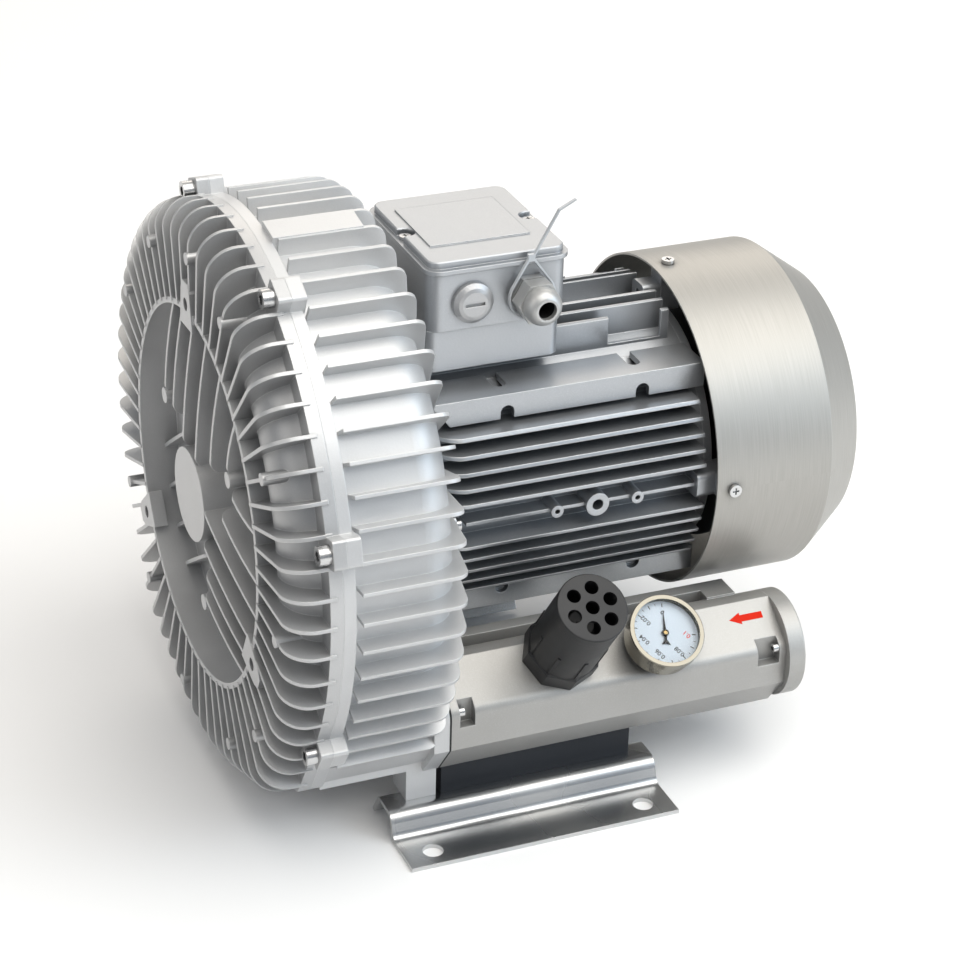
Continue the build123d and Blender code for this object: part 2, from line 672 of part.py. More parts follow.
def silencer(inlet_fittings):
    """Silencer on the near side; inlet_fittings bores it for the relief valve and the gauge."""
    with BuildPart() as body:
        with BuildSketch(across(TUBE_START_X)):
            add(tube_outline())
        extrude(amount=TUBE_END_X - TUBE_START_X)
        extrude(section(across(TUBE_START_X + 5), -SADDLE_Y - 5, -SADDLE_Y + 5, SADDLE_Z - 20, SADDLE_Z),
                amount=230)
        extrude(section(across(TUBE_START_X + 213), -SADDLE_Y - 16, -SADDLE_Y + 5, SADDLE_Z - 15, SADDLE_Z),
                amount=22)
        extrude(section(across(SKIRT_START_X), -SKIRT_Y, SKIRT_DEPTH - SKIRT_Y, rail_top_z,
                        TUBE_BOTTOM_Z + 6), amount=SKIRT_END_X - SKIRT_START_X)
        extrude(disc(across(TUBE_START_X + WALL), -BORE_Y, BORE_Z, BORE_R),
                amount=TUBE_END_X - TUBE_START_X - WALL, mode=Mode.SUBTRACT)
        extrude(disc(across(TUBE_START_X), port_y, port_z, CHANNEL_PORT_R), amount=WALL,
                mode=Mode.SUBTRACT)
        for start, end in ((TUBE_END_X - 5 - POCKET_LENGTH, TUBE_END_X - 5), (TUBE_START_X + 6, TUBE_START_X + 17)):
            extrude(section(across(start), -POCKET_Y - 20, -POCKET_Y, POCKET_LOW_Z, POCKET_LOW_Z + 30),
                    amount=end - start, mode=Mode.SUBTRACT)
        for start, end in ((TUBE_END_X - 5, TUBE_END_X), (TUBE_START_X, TUBE_START_X + 6)):
            extrude(disc(across(start), -TUBE_SCREW_Y, TUBE_SCREW_Z, TUBE_SCREW_R + 0.2),
                    amount=end - start, mode=Mode.SUBTRACT)
        for x in FOOT_BOLTS_X[1:]:
            extrude(disc(level(rail_top_z), x, -FOOT_BOLT_Y, FOOT_BOLT_R), amount=FOOT_BOLT_DEPTH,
                    mode=Mode.SUBTRACT)
        if inlet_fittings:
            extrude(disc(valve_seat, 0, 0, VALVE_NIPPLE_R), amount=-30, mode=Mode.SUBTRACT)
            extrude(disc(gauge_seat, 0, 0, GAUGE_STEM_R), amount=-14, mode=Mode.SUBTRACT)
    return body.part


near_silencer = silencer(True)
near_silencer.label = "near_silencer"
far_silencer = silencer(False).mirror(Plane.XZ)
far_silencer.label = "far_silencer"

with BuildPart() as near_gasket:
    with BuildSketch(across(BACK_X)):
        add(tube_outline())
        with Locations((port_y, port_z)):
            Circle(CHANNEL_PORT_R, mode=Mode.SUBTRACT)
        with Locations((-TUBE_SCREW_Y, TUBE_SCREW_Z)):
            Circle(TUBE_SCREW_R + 0.2, mode=Mode.SUBTRACT)
    extrude(amount=TUBE_START_X - BACK_X)
near_gasket.part.label = "near_gasket"
far_gasket = near_gasket.part.mirror(Plane.XZ)
far_gasket.label = "far_gasket"

with BuildPart() as near_foam:
    with BuildSketch(across(TUBE_START_X + 16)):
        with Locations((-BORE_Y, BORE_Z)):
            Circle(BORE_R - FIT)
            Circle(BORE_R - FOAM, mode=Mode.SUBTRACT)
    extrude(amount=TUBE_END_X - TUBE_START_X - 16 - PORT_SPIGOT - 2)
    extrude(disc(valve_seat, 0, 0, VALVE_NIPPLE_R + 2), amount=-34, mode=Mode.SUBTRACT)
near_foam.part.label = "near_foam"
far_foam = near_foam.part.mirror(Plane.XZ)
far_foam.label = "far_foam"

with BuildPart() as near_port:
    with BuildSketch(across(TUBE_END_X)):
        with Locations((-TUBE_Y, TUBE_Z)):
            Circle(TUBE_R)
        with Locations((-TUBE_SCREW_Y, TUBE_SCREW_Z - 2)):
            Rectangle(12, 14)
    extrude(amount=PORT_LENGTH)
    fillet(near_port.faces().sort_by(Axis.X)[-1].outer_wire().edges(), 1.5)
    extrude(disc(across(TUBE_END_X), -BORE_Y, BORE_Z, BORE_R - FIT), amount=-PORT_SPIGOT)
    extrude(disc(across(TUBE_END_X + PORT_LENGTH), -BORE_Y, BORE_Z, PORT_BORE_R), amount=-PORT_THREAD,
            mode=Mode.SUBTRACT)
    extrude(disc(across(TUBE_END_X + PORT_LENGTH), -BORE_Y, BORE_Z, PORT_PASSAGE_R),
            amount=-PORT_LENGTH - PORT_SPIGOT, mode=Mode.SUBTRACT)
    extrude(disc(across(TUBE_END_X), -TUBE_SCREW_Y, TUBE_SCREW_Z, TUBE_SCREW_R), amount=10,
            mode=Mode.SUBTRACT)
near_port.part.label = "near_port"
far_port = near_port.part.mirror(Plane.XZ)
far_port.label = "far_port"

silencer_screws = screws([(x, side * TUBE_SCREW_Y, TUBE_SCREW_Z, way) for side in (-1, 1)
                          for x, way in ((TUBE_START_X + 6, -1), (TUBE_END_X - 5, 1))],
                         TUBE_SCREW_R, 3.3, 4, 15)
silencer_screws.label = "silencer_screws"

# Foot rails
with BuildPart() as near_foot:
    with BuildSketch(Plane.YZ.offset(SEAM_X + RAIL_START_X)):
        with BuildLine() as path:
            FilletPolyline((-RAIL_EDGE_Y, RAIL_SHEET / 2), (-RAIL_EDGE_Y + 37, RAIL_SHEET / 2),
                           (-RAIL_EDGE_Y + 43, RAIL_HEIGHT - RAIL_SHEET / 2),
                           (-RAIL_EDGE_Y + 64.5, RAIL_HEIGHT - RAIL_SHEET / 2),
                           (-RAIL_EDGE_Y + 75, RAIL_SHEET), radius=(8, 9, 4))
        trace(path.line, RAIL_SHEET)
    extrude(amount=RAIL_LENGTH)
    with BuildSketch(Plane.XY.offset(-1)):
        with Locations((-FOOT_HOLE_PITCH / 2, -FOOT_HOLE_Y), (FOOT_HOLE_PITCH / 2, -FOOT_HOLE_Y)):
            Circle(FOOT_HOLE_R)
    extrude(amount=RAIL_SHEET + 2, mode=Mode.SUBTRACT)
    for x in FOOT_BOLTS_X:
        extrude(disc(level(rail_top_z), x, -FOOT_BOLT_Y, FOOT_BOLT_R + 0.3), amount=-RAIL_SHEET,
                mode=Mode.SUBTRACT)
near_foot.part.label = "near_foot"
far_foot = near_foot.part.mirror(Plane.XZ)
far_foot.label = "far_foot"

with BuildPart() as foot_bolts:
    for side in (-1, 1):
        for x in FOOT_BOLTS_X:
            place = (SEAM_X + x, side * FOOT_BOLT_Y, RAIL_HEIGHT - RAIL_SHEET)
            with BuildSketch(Plane(origin=place)):
                Circle(FOOT_BOLT_R)
            extrude(amount=RAIL_SHEET + FOOT_BOLT_DEPTH)
            with BuildSketch(Plane(origin=place)):
                RegularPolygon(4.4, 6)
            extrude(amount=-4)
foot_bolts.part.label = "foot_bolts"

# Motor frame
def pad_slot(x, side, end, edge):
    """Slot with a round end in a mounting pad, open at the pad's inner edge, in the current sketch."""
    with Locations((x, side * (end - PAD_SLOT_R))):
        Circle(PAD_SLOT_R)
    with Locations((x, side * (end - PAD_SLOT_R + edge - 1) / 2)):
        Rectangle(2 * PAD_SLOT_R, end - PAD_SLOT_R - edge + 1)


def pad_end(side, edge):
    """Slanted start of a mounting pad, in the current sketch."""
    Polygon((MOTOR_FIN_START_X - 1, side * (PAD_CORNER + 1)), (MOTOR_FIN_START_X - 1, side * (edge - 1)),
            (MOTOR_FIN_START_X + PAD_END_CHAMFER, side * (edge - 1)), align=None)


with BuildPart() as motor_frame:
    with BuildSketch(across(MOTOR_FIN_START_X)):
        for depth in SIDE_FIN_LEVELS:
            with Locations((0, depth), (0, -depth)):
                Rectangle(2 * MOTOR_FIN_R, MOTOR_FIN_THICKNESS)
        for depth in TOP_FIN_LEVELS:
            with Locations((depth, 0), (-depth, 0)):
                Rectangle(MOTOR_FIN_THICKNESS, 2 * MOTOR_FIN_R)
        Circle(MOTOR_FIN_R, mode=Mode.INTERSECT)
        Circle(FRAME_BORE_R + 2, mode=Mode.SUBTRACT)
    extrude(amount=MOTOR_FIN_END_X - MOTOR_FIN_START_X)
    with BuildSketch(AXIAL):
        with BuildLine():
            Line((MOTOR_FIN_START_X, FRAME_BORE_R), (MOTOR_FIN_START_X, FRAME_R))
            TangentArc((MOTOR_FIN_START_X, FRAME_R), (MOTOR_FIN_START_X + 18, MOTOR_FIN_R), tangent=(0, 1))
            Polyline((MOTOR_FIN_START_X + 18, MOTOR_FIN_R), (MOTOR_FIN_START_X + 18, MOTOR_FIN_R + 5),
                     (MOTOR_FIN_END_X, MOTOR_FIN_R + 5), (MOTOR_FIN_END_X, FRAME_BORE_R),
                     (MOTOR_FIN_START_X, FRAME_BORE_R))
        make_face()
    revolve(axis=SHAFT, mode=Mode.INTERSECT)
    ring(MOTOR_FACE_X, FRAME_END_X, FRAME_BORE_R, FRAME_R)
    # central ribs on the sides, with a boss for an eye screw
    with BuildSketch(across(MOTOR_FIN_START_X + 18)):
        for side in (-1, 1):
            with Locations((side * (FRAME_R + 6), 0)):
                Rectangle(16, MOTOR_FIN_THICKNESS)
    extrude(amount=MOTOR_FIN_END_X - MOTOR_FIN_START_X - 18)
    for x, radius in ((187, 4.5), (217, 8.5), (247, 4.5)):
        extrude(disc(AXIAL, x, 0, radius), amount=FRAME_R + 18, both=True)
    for x, radius in ((187, 1.8), (217, 4.0), (247, 1.8)):
        for side in (-1, 1):
            extrude(disc(AXIAL.offset(side * (FRAME_R + 18)), x, 0, radius), amount=-side * 13,
                    mode=Mode.SUBTRACT)
    ring(MOTOR_FACE_X, FRAME_END_X, 0, FRAME_BORE_R, mode=Mode.SUBTRACT)
    # screw lugs at both ends
    for start, length in ((MOTOR_FACE_X, MOTOR_LUG), (FRAME_END_X - MOTOR_LUG, MOTOR_LUG)):
        with BuildSketch(across(start)):
            with Locations(lug_places(FRAME_R + 8, QUARTERS)):
                RectangleRounded(22, 18, 4)
            Circle(FRAME_BORE_R + 2, mode=Mode.SUBTRACT)
        extrude(amount=length)
    # mounting rails at the four corners
    with BuildSketch(across(MOTOR_FIN_START_X)):
        with BuildLine():
            Polyline((-PAD_CORNER, PAD_CORNER), (PAD_WIDTH - PAD_CORNER, PAD_CORNER),
                     (PAD_WIDTH - PAD_CORNER, PAD_CORNER - PAD_SHEET),
                     (PAD_SHEET + 6 - PAD_CORNER, PAD_CORNER - PAD_SHEET), (-60, 63), (-63, 60),
                     (PAD_SHEET - PAD_CORNER, PAD_CORNER - PAD_SHEET - 6),
                     (PAD_SHEET - PAD_CORNER, PAD_CORNER - PAD_HEIGHT), (-PAD_CORNER, PAD_CORNER - PAD_HEIGHT),
                     close=True)
        make_face()
        mirror(about=Plane.YZ)
        mirror(about=Plane.XZ)
    extrude(amount=FRAME_END_X - MOTOR_FIN_START_X)
    for flip in (-1, 1):
        with BuildSketch(level(flip * PAD_CORNER)):
            for side in (-1, 1):
                for x in PAD_SLOTS_X:
                    pad_slot(x, side, PAD_CORNER - PAD_SLOT_EDGE, PAD_CORNER - PAD_WIDTH)
                pad_end(side, PAD_CORNER - PAD_WIDTH)
        extrude(amount=-flip * PAD_SHEET, mode=Mode.SUBTRACT)
        with BuildSketch(AXIAL.offset(flip * PAD_CORNER)):
            for side in (-1, 1):
                for x in PAD_SLOTS_X:
                    pad_slot(x, side, PAD_CORNER - PAD_FRONT_SLOT_EDGE, PAD_CORNER - PAD_HEIGHT)
                pad_end(side, PAD_CORNER - PAD_HEIGHT)
        extrude(amount=-flip * PAD_SHEET, mode=Mode.SUBTRACT)
    for start, end in TOP_FIN_DIPS:
        for side in (-1, 1):
            extrude(section(level(PAD_CORNER + 3), start, end, side * 37 - 4, side * 37 + 4), amount=30,
                    mode=Mode.SUBTRACT)
    # seat of the terminal box
    with BuildSketch(level(BOX_LOW_Z)):
        with Locations((BOX_START_X + BOX_LENGTH / 2 - 2, 0)):
            RectangleRounded(BOX_LENGTH - 2, PEDESTAL_WIDTH, 8)
            Rectangle(BOX_LENGTH - 14, PEDESTAL_WIDTH - 12, mode=Mode.SUBTRACT)
    extrude(amount=PEDESTAL_LOW_Z - BOX_LOW_Z)
    extrude(section(level(MOTOR_SCREW_CIRCLE_R - 8), BOX_START_X - 4, BOX_START_X + 10, -9, 9), amount=16,
            mode=Mode.SUBTRACT)
    extrude(disc(level(0), CABLE_X, 0, 11), amount=BOX_LOW_Z, mode=Mode.SUBTRACT)
    for start, length in ((MOTOR_FACE_X, MOTOR_LUG), (FRAME_END_X - MOTOR_LUG, MOTOR_LUG)):
        with BuildSketch(across(start)):
            with Locations(lug_places(MOTOR_SCREW_CIRCLE_R, QUARTERS)):
                Circle(MOTOR_SCREW_R)
        extrude(amount=length, mode=Mode.SUBTRACT)
motor_frame.part.label = "motor_frame"

# End shield and screws of the motor
with BuildPart() as rear_end_shield:
    ring(FRAME_END_X, FRAME_END_X + 6, REAR_BEARING_R, FRAME_R)
    ring(FRAME_END_X - 4, FRAME_END_X, FRAME_BORE_R - 6, FRAME_BORE_R)
    ring(REAR_BEARING_X - 2, FRAME_END_X + 8, REAR_BEARING_R, REAR_BEARING_R + 8)
    ring(FRAME_END_X + 5, FRAME_END_X + 8, REAR_BEARING_BORE_R + 2, REAR_BEARING_R + 4)
    with BuildSketch(across(FRAME_END_X)):
        with Locations(lug_places((FRAME_R + COWL_R) / 2, QUARTERS)):
            Rectangle(COWL_R - FRAME_R + 4, 16)
        Circle(COWL_R - COWL_SHEET, mode=Mode.INTERSECT)
        Circle(FRAME_R - 6, mode=Mode.SUBTRACT)
    extrude(amount=SHIELD_THICKNESS)
    with BuildSketch(across(FRAME_END_X)):
        with Locations(lug_places(MOTOR_SCREW_CIRCLE_R, QUARTERS)):
            Circle(MOTOR_SCREW_R + 0.3)
    extrude(amount=SHIELD_THICKNESS, mode=Mode.SUBTRACT)
    for angle in QUARTERS:
        extrude(disc(cowl_seat(angle), 0, 0, COWL_SCREW_R), amount=-11, mode=Mode.SUBTRACT)
rear_end_shield.part.label = "rear_end_shield"

motor_screw_points = [polar(MOTOR_SCREW_CIRCLE_R, angle) for angle in QUARTERS]
motor_screws = screws([(MOTOR_FACE_X + MOTOR_LUG, *point, -1) for point in motor_screw_points]
                      + [(FRAME_END_X + SHIELD_THICKNESS, *point, -1) for point in motor_screw_points],
                      MOTOR_SCREW_R, 5, 5, MOTOR_LUG + SHIELD_THICKNESS - 2)
motor_screws.label = "motor_screws"

# Stator
slot_in, slot_out, slot_width = ROTOR_R + AIR_GAP + 4, 76.0, 7.0
with BuildPart() as stator_core:
    with BuildSketch(across(CORE_START_X)):
        Circle(FRAME_BORE_R)
        Circle(ROTOR_R + AIR_GAP, mode=Mode.SUBTRACT)
        with PolarLocations((slot_in + slot_out) / 2, SLOT_COUNT):
            Rectangle(slot_out - slot_in, slot_width, mode=Mode.SUBTRACT)
    extrude(amount=CORE_LENGTH)
stator_core.part.label = "stator_core"

with BuildPart() as stator_windings:
    with BuildSketch(across(CORE_START_X)):
        with PolarLocations((slot_in + slot_out) / 2, SLOT_COUNT):
            Rectangle(slot_out - slot_in, slot_width)
    extrude(amount=CORE_LENGTH)
    ring(CORE_START_X - 24, CORE_START_X, slot_in, slot_out)
    ring(CORE_START_X + CORE_LENGTH, CORE_START_X + CORE_LENGTH + 24, slot_in, slot_out)
stator_windings.part.label = "stator_windings"

# Shaft line
shoulder_x = FRONT_BEARING_X + FRONT_BEARING_WIDTH
shaft_end_x = FAN_X + FAN_DEPTH - 4
with BuildPart() as motor_shaft:
    with BuildSketch(AXIAL):
        with BuildLine():
            Polyline((IMPELLER_SHAFT_X, 0), (IMPELLER_SHAFT_X, IMPELLER_SHAFT_R - 1),
                     (IMPELLER_SHAFT_X + 1, IMPELLER_SHAFT_R), (CHAMBER_DEPTH - 1, IMPELLER_SHAFT_R),
                     (CHAMBER_DEPTH - 1, FRONT_BEARING_BORE_R), (shoulder_x, FRONT_BEARING_BORE_R),
                     (shoulder_x, CORE_SHAFT_R), (REAR_BEARING_X, CORE_SHAFT_R),
                     (REAR_BEARING_X, REAR_BEARING_BORE_R),
                     (REAR_BEARING_X + REAR_BEARING_WIDTH + 3, REAR_BEARING_BORE_R),
                     (REAR_BEARING_X + REAR_BEARING_WIDTH + 3, FAN_SHAFT_R), (shaft_end_x - 1, FAN_SHAFT_R),
                     (shaft_end_x, FAN_SHAFT_R - 1), (shaft_end_x, 0), close=True)
        make_face()
    revolve(axis=SHAFT)
    extrude(section(across(KEY_START_X), -KEY_WIDTH / 2, KEY_WIDTH / 2, IMPELLER_SHAFT_R - 4, IMPELLER_SHAFT_R + 1),
            amount=KEY_LENGTH, mode=Mode.SUBTRACT)
    extrude(disc(across(IMPELLER_SHAFT_X), 0, 0, 5), amount=30, mode=Mode.SUBTRACT)
motor_shaft.part.label = "motor_shaft"

with BuildPart() as rotor_core:
    ring(CORE_START_X, CORE_START_X + CORE_LENGTH, CORE_SHAFT_R, ROTOR_R)
    ring(CORE_START_X - 9, CORE_START_X, ROTOR_R - 20, ROTOR_R - 2)
    ring(CORE_START_X + CORE_LENGTH, CORE_START_X + CORE_LENGTH + 9, ROTOR_R - 20, ROTOR_R - 2)
rotor_core.part.label = "rotor_core"

with BuildPart() as impeller_key:
    extrude(section(across(KEY_START_X), -KEY_WIDTH / 2, KEY_WIDTH / 2, IMPELLER_SHAFT_R - 4, IMPELLER_SHAFT_R + 3),
            amount=KEY_LENGTH)
impeller_key.part.label = "impeller_key"


def bearing(start, width, bore, outside, name):
    """Sealed bearing as its two rings, which run past each other with a small gap."""
    split = (bore + outside) / 2
    with BuildPart() as inner:
        ring(start, start + width, bore, split - 0.3)
    with BuildPart() as outer:
        ring(start, start + width, split, outside)
    inner.part.label = f"{name}_bearing_inner"
    outer.part.label = f"{name}_bearing_outer"
    return inner.part, outer.part


front_bearing_inner, front_bearing_outer = bearing(FRONT_BEARING_X, FRONT_BEARING_WIDTH,
                                                   FRONT_BEARING_BORE_R, FRONT_BEARING_R, "front")
rear_bearing_inner, rear_bearing_outer = bearing(REAR_BEARING_X, REAR_BEARING_WIDTH,
                                                 REAR_BEARING_BORE_R, REAR_BEARING_R, "rear")

washer_x = REAR_BEARING_X + REAR_BEARING_WIDTH
with BuildPart() as wave_washer:
    ring(washer_x, FRAME_END_X + 5, REAR_BEARING_R - 5, REAR_BEARING_R - 0.5)
wave_washer.part.label = "wave_washer"

with BuildPart() as shaft_seal:
    ring(CHAMBER_DEPTH + 0.5, CHAMBER_DEPTH + 0.5 + SEAL_LENGTH, FRONT_BEARING_BORE_R + 0.3, SEAL_BORE_R)
shaft_seal.part.label = "shaft_seal"

# Impeller
web_x = CHAMBER_DEPTH / 2
with BuildPart() as impeller:
    ring(RUNNING_GAP + 5, CHAMBER_DEPTH - RUNNING_GAP, IMPELLER_SHAFT_R, IMPELLER_HUB_R)
    ring(web_x - IMPELLER_WEB / 2, web_x + IMPELLER_WEB / 2, IMPELLER_HUB_R, CHAMBER_R - 2)
    ring(RUNNING_GAP, CHAMBER_DEPTH - RUNNING_GAP, land_r - 8, land_r)
    with BuildSketch(across(RUNNING_GAP)):
        with PolarLocations((land_r + CHAMBER_R - 3) / 2, IMPELLER_BLADES):
            Rectangle(CHAMBER_R - 1 - land_r, BLADE_THICKNESS)
    extrude(amount=CHAMBER_DEPTH - 2 * RUNNING_GAP)
    extrude(section(across(0), -KEY_WIDTH / 2, KEY_WIDTH / 2, IMPELLER_SHAFT_R - 1, IMPELLER_SHAFT_R + 3),
            amount=CHAMBER_DEPTH, mode=Mode.SUBTRACT)
impeller.part.label = "impeller"

with BuildPart() as impeller_screw:
    ring(RUNNING_GAP + 2, RUNNING_GAP + 5, 0, IMPELLER_SHAFT_R + 8)
    ring(RUNNING_GAP - 5, RUNNING_GAP + 2, 0, 8)
    ring(RUNNING_GAP + 2, IMPELLER_SHAFT_X + 24, 0, 5)
    with BuildSketch(across(RUNNING_GAP - 5)):
        RegularPolygon(4.6, 6)
    extrude(amount=4, mode=Mode.SUBTRACT)
impeller_screw.part.label = "impeller_screw"

# Fan and cowl
with BuildPart() as cooling_fan:
    ring(FAN_X, FAN_X + FAN_DEPTH - 8, FAN_SHAFT_R, FAN_SHAFT_R + 9)
    ring(FAN_X, FAN_X + 3, FAN_SHAFT_R, FAN_R - 14)
    with BuildSketch(across(FAN_X)):
        with PolarLocations((FAN_R + FAN_SHAFT_R + 6) / 2, FAN_BLADES):
            Rectangle(FAN_R - FAN_SHAFT_R - 6, 3)
    extrude(amount=FAN_DEPTH)
cooling_fan.part.label = "cooling_fan"

cone_drop = COWL_R - COWL_END_R
with BuildPart() as fan_cowl:
    with BuildSketch(AXIAL):
        with BuildLine():
            Polyline((COWL_START_X, COWL_R), (COWL_CONE_X, COWL_R), (COWL_END_X, COWL_END_R),
                     (COWL_END_X, COWL_END_R - 6), (COWL_END_X - COWL_SHEET, COWL_END_R - 6),
                     (COWL_END_X - COWL_SHEET, COWL_END_R - 0.6), (COWL_CONE_X - 0.4, COWL_R - COWL_SHEET),
                     (COWL_START_X, COWL_R - COWL_SHEET), close=True)
        make_face()
    revolve(axis=SHAFT)
    grille_rings = [COWL_END_R - 6 - step * GRILLE_PITCH for step in range(1, 9)]
    with BuildSketch(across(COWL_END_X - COWL_SHEET)):
        for radius in grille_rings:
            with BuildSketch() as one:
                Circle(radius)
                Circle(radius - 3, mode=Mode.SUBTRACT)
            add(one.sketch)
        Circle(14)
        with Locations((0, 0)):
            Rectangle(2 * COWL_END_R - 8, 4)
            Rectangle(4, 2 * COWL_END_R - 8)
            Rectangle(2 * COWL_END_R - 8, 4, rotation=45)
            Rectangle(2 * COWL_END_R - 8, 4, rotation=135)
    extrude(amount=COWL_SHEET)
    for angle in QUARTERS:
        extrude(disc(cowl_seat(angle), 0, 0, COWL_SCREW_R + 0.2), amount=-4, both=True,
                mode=Mode.SUBTRACT)
fan_cowl.part.label = "fan_cowl"

with BuildPart() as cowl_screws:
    for angle in QUARTERS:
        seat = cowl_seat(angle)
        seat_ring(seat, 0, COWL_SCREW_R, -10, 0.4)
        seat_ring(seat, 0, 4.6, 0.3, 3)
        with BuildSketch(seat.offset(3)):
            Rectangle(5, 1.2)
            Rectangle(1.2, 5)
        extrude(amount=-1.5, mode=Mode.SUBTRACT)
cowl_screws.part.label = "cowl_screws"

# Terminal box
box_mid = BOX_START_X + BOX_LENGTH / 2
cover_screw_x = BOX_LENGTH / 2 - 5
with BuildPart() as terminal_box:
    with BuildSketch(level(BOX_LOW_Z)):
        with Locations((box_mid, 0)):
            RectangleRounded(BOX_LENGTH, BOX_WIDTH, BOX_CORNER)
    extrude(amount=BOX_HIGH_Z - BOX_LOW_Z)
    with BuildSketch(level(BOX_LOW_Z + BOX_WALL)):
        with Locations((box_mid, 0)):
            RectangleRounded(BOX_LENGTH - 2 * BOX_WALL, BOX_WIDTH - 2 * BOX_WALL, BOX_CORNER - BOX_WALL)
    extrude(amount=BOX_HIGH_Z - BOX_LOW_Z, mode=Mode.SUBTRACT)
    with BuildSketch(level(BOX_LOW_Z + 1)):
        with Locations((box_mid - cover_screw_x, 0), (box_mid + cover_screw_x, 0)):
            Circle(COVER_POST_R)
    extrude(amount=BOX_HIGH_Z - BOX_LOW_Z - 1)
    with BuildSketch(level(BOX_HIGH_Z)):
        with Locations((box_mid - cover_screw_x, 0), (box_mid + cover_screw_x, 0)):
            Circle(COVER_SCREW_R)
    extrude(amount=-14, mode=Mode.SUBTRACT)
    extrude(disc(level(BOX_LOW_Z), CABLE_X, 0, 11), amount=BOX_WALL, mode=Mode.SUBTRACT)
    for x in (PLUG_X, GLAND_X):
        extrude(disc(entry_seat(x), 0, 0, ENTRY_R), amount=-BOX_WALL, mode=Mode.SUBTRACT)
terminal_box.part.label = "terminal_box"

with BuildPart() as terminal_box_gasket:
    with BuildSketch(level(BOX_HIGH_Z)):
        with Locations((box_mid, 0)):
            RectangleRounded(BOX_LENGTH, BOX_WIDTH, BOX_CORNER)
            RectangleRounded(BOX_LENGTH - 2 * BOX_WALL, BOX_WIDTH - 2 * BOX_WALL, BOX_CORNER - BOX_WALL,
                             mode=Mode.SUBTRACT)
        with Locations((box_mid - cover_screw_x, 0), (box_mid + cover_screw_x, 0)):
            Circle(COVER_POST_R)
            Circle(COVER_SCREW_R, mode=Mode.SUBTRACT)
    extrude(amount=COVER_GASKET)
terminal_box_gasket.part.label = "terminal_box_gasket"

cover_z = BOX_HIGH_Z + COVER_GASKET
with BuildPart() as terminal_box_cover:
    with BuildSketch(level(cover_z)):
        with Locations((box_mid, 0)):
            RectangleRounded(COVER_LENGTH, COVER_WIDTH, BOX_CORNER + 1)
    extrude(amount=COVER_LIP)
    with BuildSketch(level(cover_z + COVER_LIP)):
        with Locations((box_mid, 0)):
            RectangleRounded(COVER_LENGTH - 6, COVER_WIDTH - 8, BOX_CORNER - 2)
        for way in (-1, 1):
            with Locations((box_mid + way * cover_screw_x, 0)):
                Circle(COVER_NOTCH_R, mode=Mode.SUBTRACT)
            with Locations((box_mid + way * (cover_screw_x + COVER_NOTCH_R), 0)):
                Rectangle(2 * COVER_NOTCH_R, 2 * COVER_NOTCH_R, mode=Mode.SUBTRACT)
    extrude(amount=COVER_BODY)
    chamfer(terminal_box_cover.faces().sort_by(Axis.Z)[-1].edges(), 0.8)
    extrude(section(level(cover_z + COVER_LIP + COVER_BODY), box_mid - 39, box_mid + 33, -30, 36),
            amount=COVER_PANEL)
    with BuildSketch(level(cover_z + COVER_LIP)):
        with Locations((box_mid - cover_screw_x, 0), (box_mid + cover_screw_x, 0)):
            Circle(COVER_SCREW_R + 0.3)
    extrude(amount=-COVER_LIP, mode=Mode.SUBTRACT)
terminal_box_cover.part.label = "terminal_box_cover"

with BuildPart() as cover_screws:
    for side in (-1, 1):
        seat = Plane(origin=(SEAM_X + box_mid + side * cover_screw_x, 0, SHAFT_HEIGHT + cover_z + COVER_LIP))
        seat_ring(seat, 0, COVER_SCREW_R, -15, 0)
        seat_ring(seat, 0, 4.2, 0, 2.4)
        with BuildSketch(seat.offset(2.4)):
            Rectangle(5, 1)
            Rectangle(1, 5)
        extrude(amount=-1.2, mode=Mode.SUBTRACT)
cover_screws.part.label = "cover_screws"

block_z = BOX_LOW_Z + BOX_WALL
stud_places = [(box_mid + x, y) for x in (14, 28) for y in (-24, 0, 24)]
with BuildPart() as terminal_block:
    extrude(section(level(block_z), box_mid + 6, box_mid + 36, -36, 36), amount=9)
    for y in (-12, 12):
        extrude(section(level(block_z), box_mid + 6, box_mid + 36, y - 1.5, y + 1.5), amount=16)
    for place in stud_places:
        extrude(disc(level(block_z + 9), *place, 2), amount=-6, mode=Mode.SUBTRACT)
terminal_block.part.label = "terminal_block"

with BuildPart() as terminal_studs:
    for place in stud_places:
        extrude(disc(level(block_z + 3), *place, 2), amount=20)
        with BuildSketch(level(block_z + 9)):
            with Locations(place):
                RegularPolygon(4, 6)
        extrude(amount=3.5)
terminal_studs.part.label = "terminal_studs"

# Entries of the terminal box
plug_seat = entry_seat(PLUG_X)
gland_seat = entry_seat(GLAND_X)
with BuildPart() as blind_plug:
    seat_ring(plug_seat, 0, ENTRY_R, -BOX_WALL - 4, 0)
    with BuildSketch(side_of(plug_seat)):
        with BuildLine():
            Polyline((0, 0), (PLUG_R, 0), (PLUG_R, 3), (PLUG_R - 3, 5.2), (8.8, 6), (0, 6), close=True)
        make_face()
    revolve(axis=axis_of(plug_seat))
    extrude(section(plug_seat.offset(6), -7, 7, -1.2, 1.2), amount=-2, mode=Mode.SUBTRACT)
blind_plug.part.label = "blind_plug"

with BuildPart() as gland_body:
    seat_ring(gland_seat, GLAND_BORE_R + 1, ENTRY_R, -BOX_WALL - 4, 0)
    with BuildSketch(gland_seat):
        RegularPolygon(GLAND_FLATS / 2, 6, major_radius=False)
        Circle(GLAND_BORE_R + 1, mode=Mode.SUBTRACT)
    extrude(amount=6)
    seat_ring(gland_seat, 9, 11, 6, 17)
    seat_ring(gland_seat, GLAND_BORE_R + 1, 9.5, 6, 8)
gland_body.part.label = "gland_body"

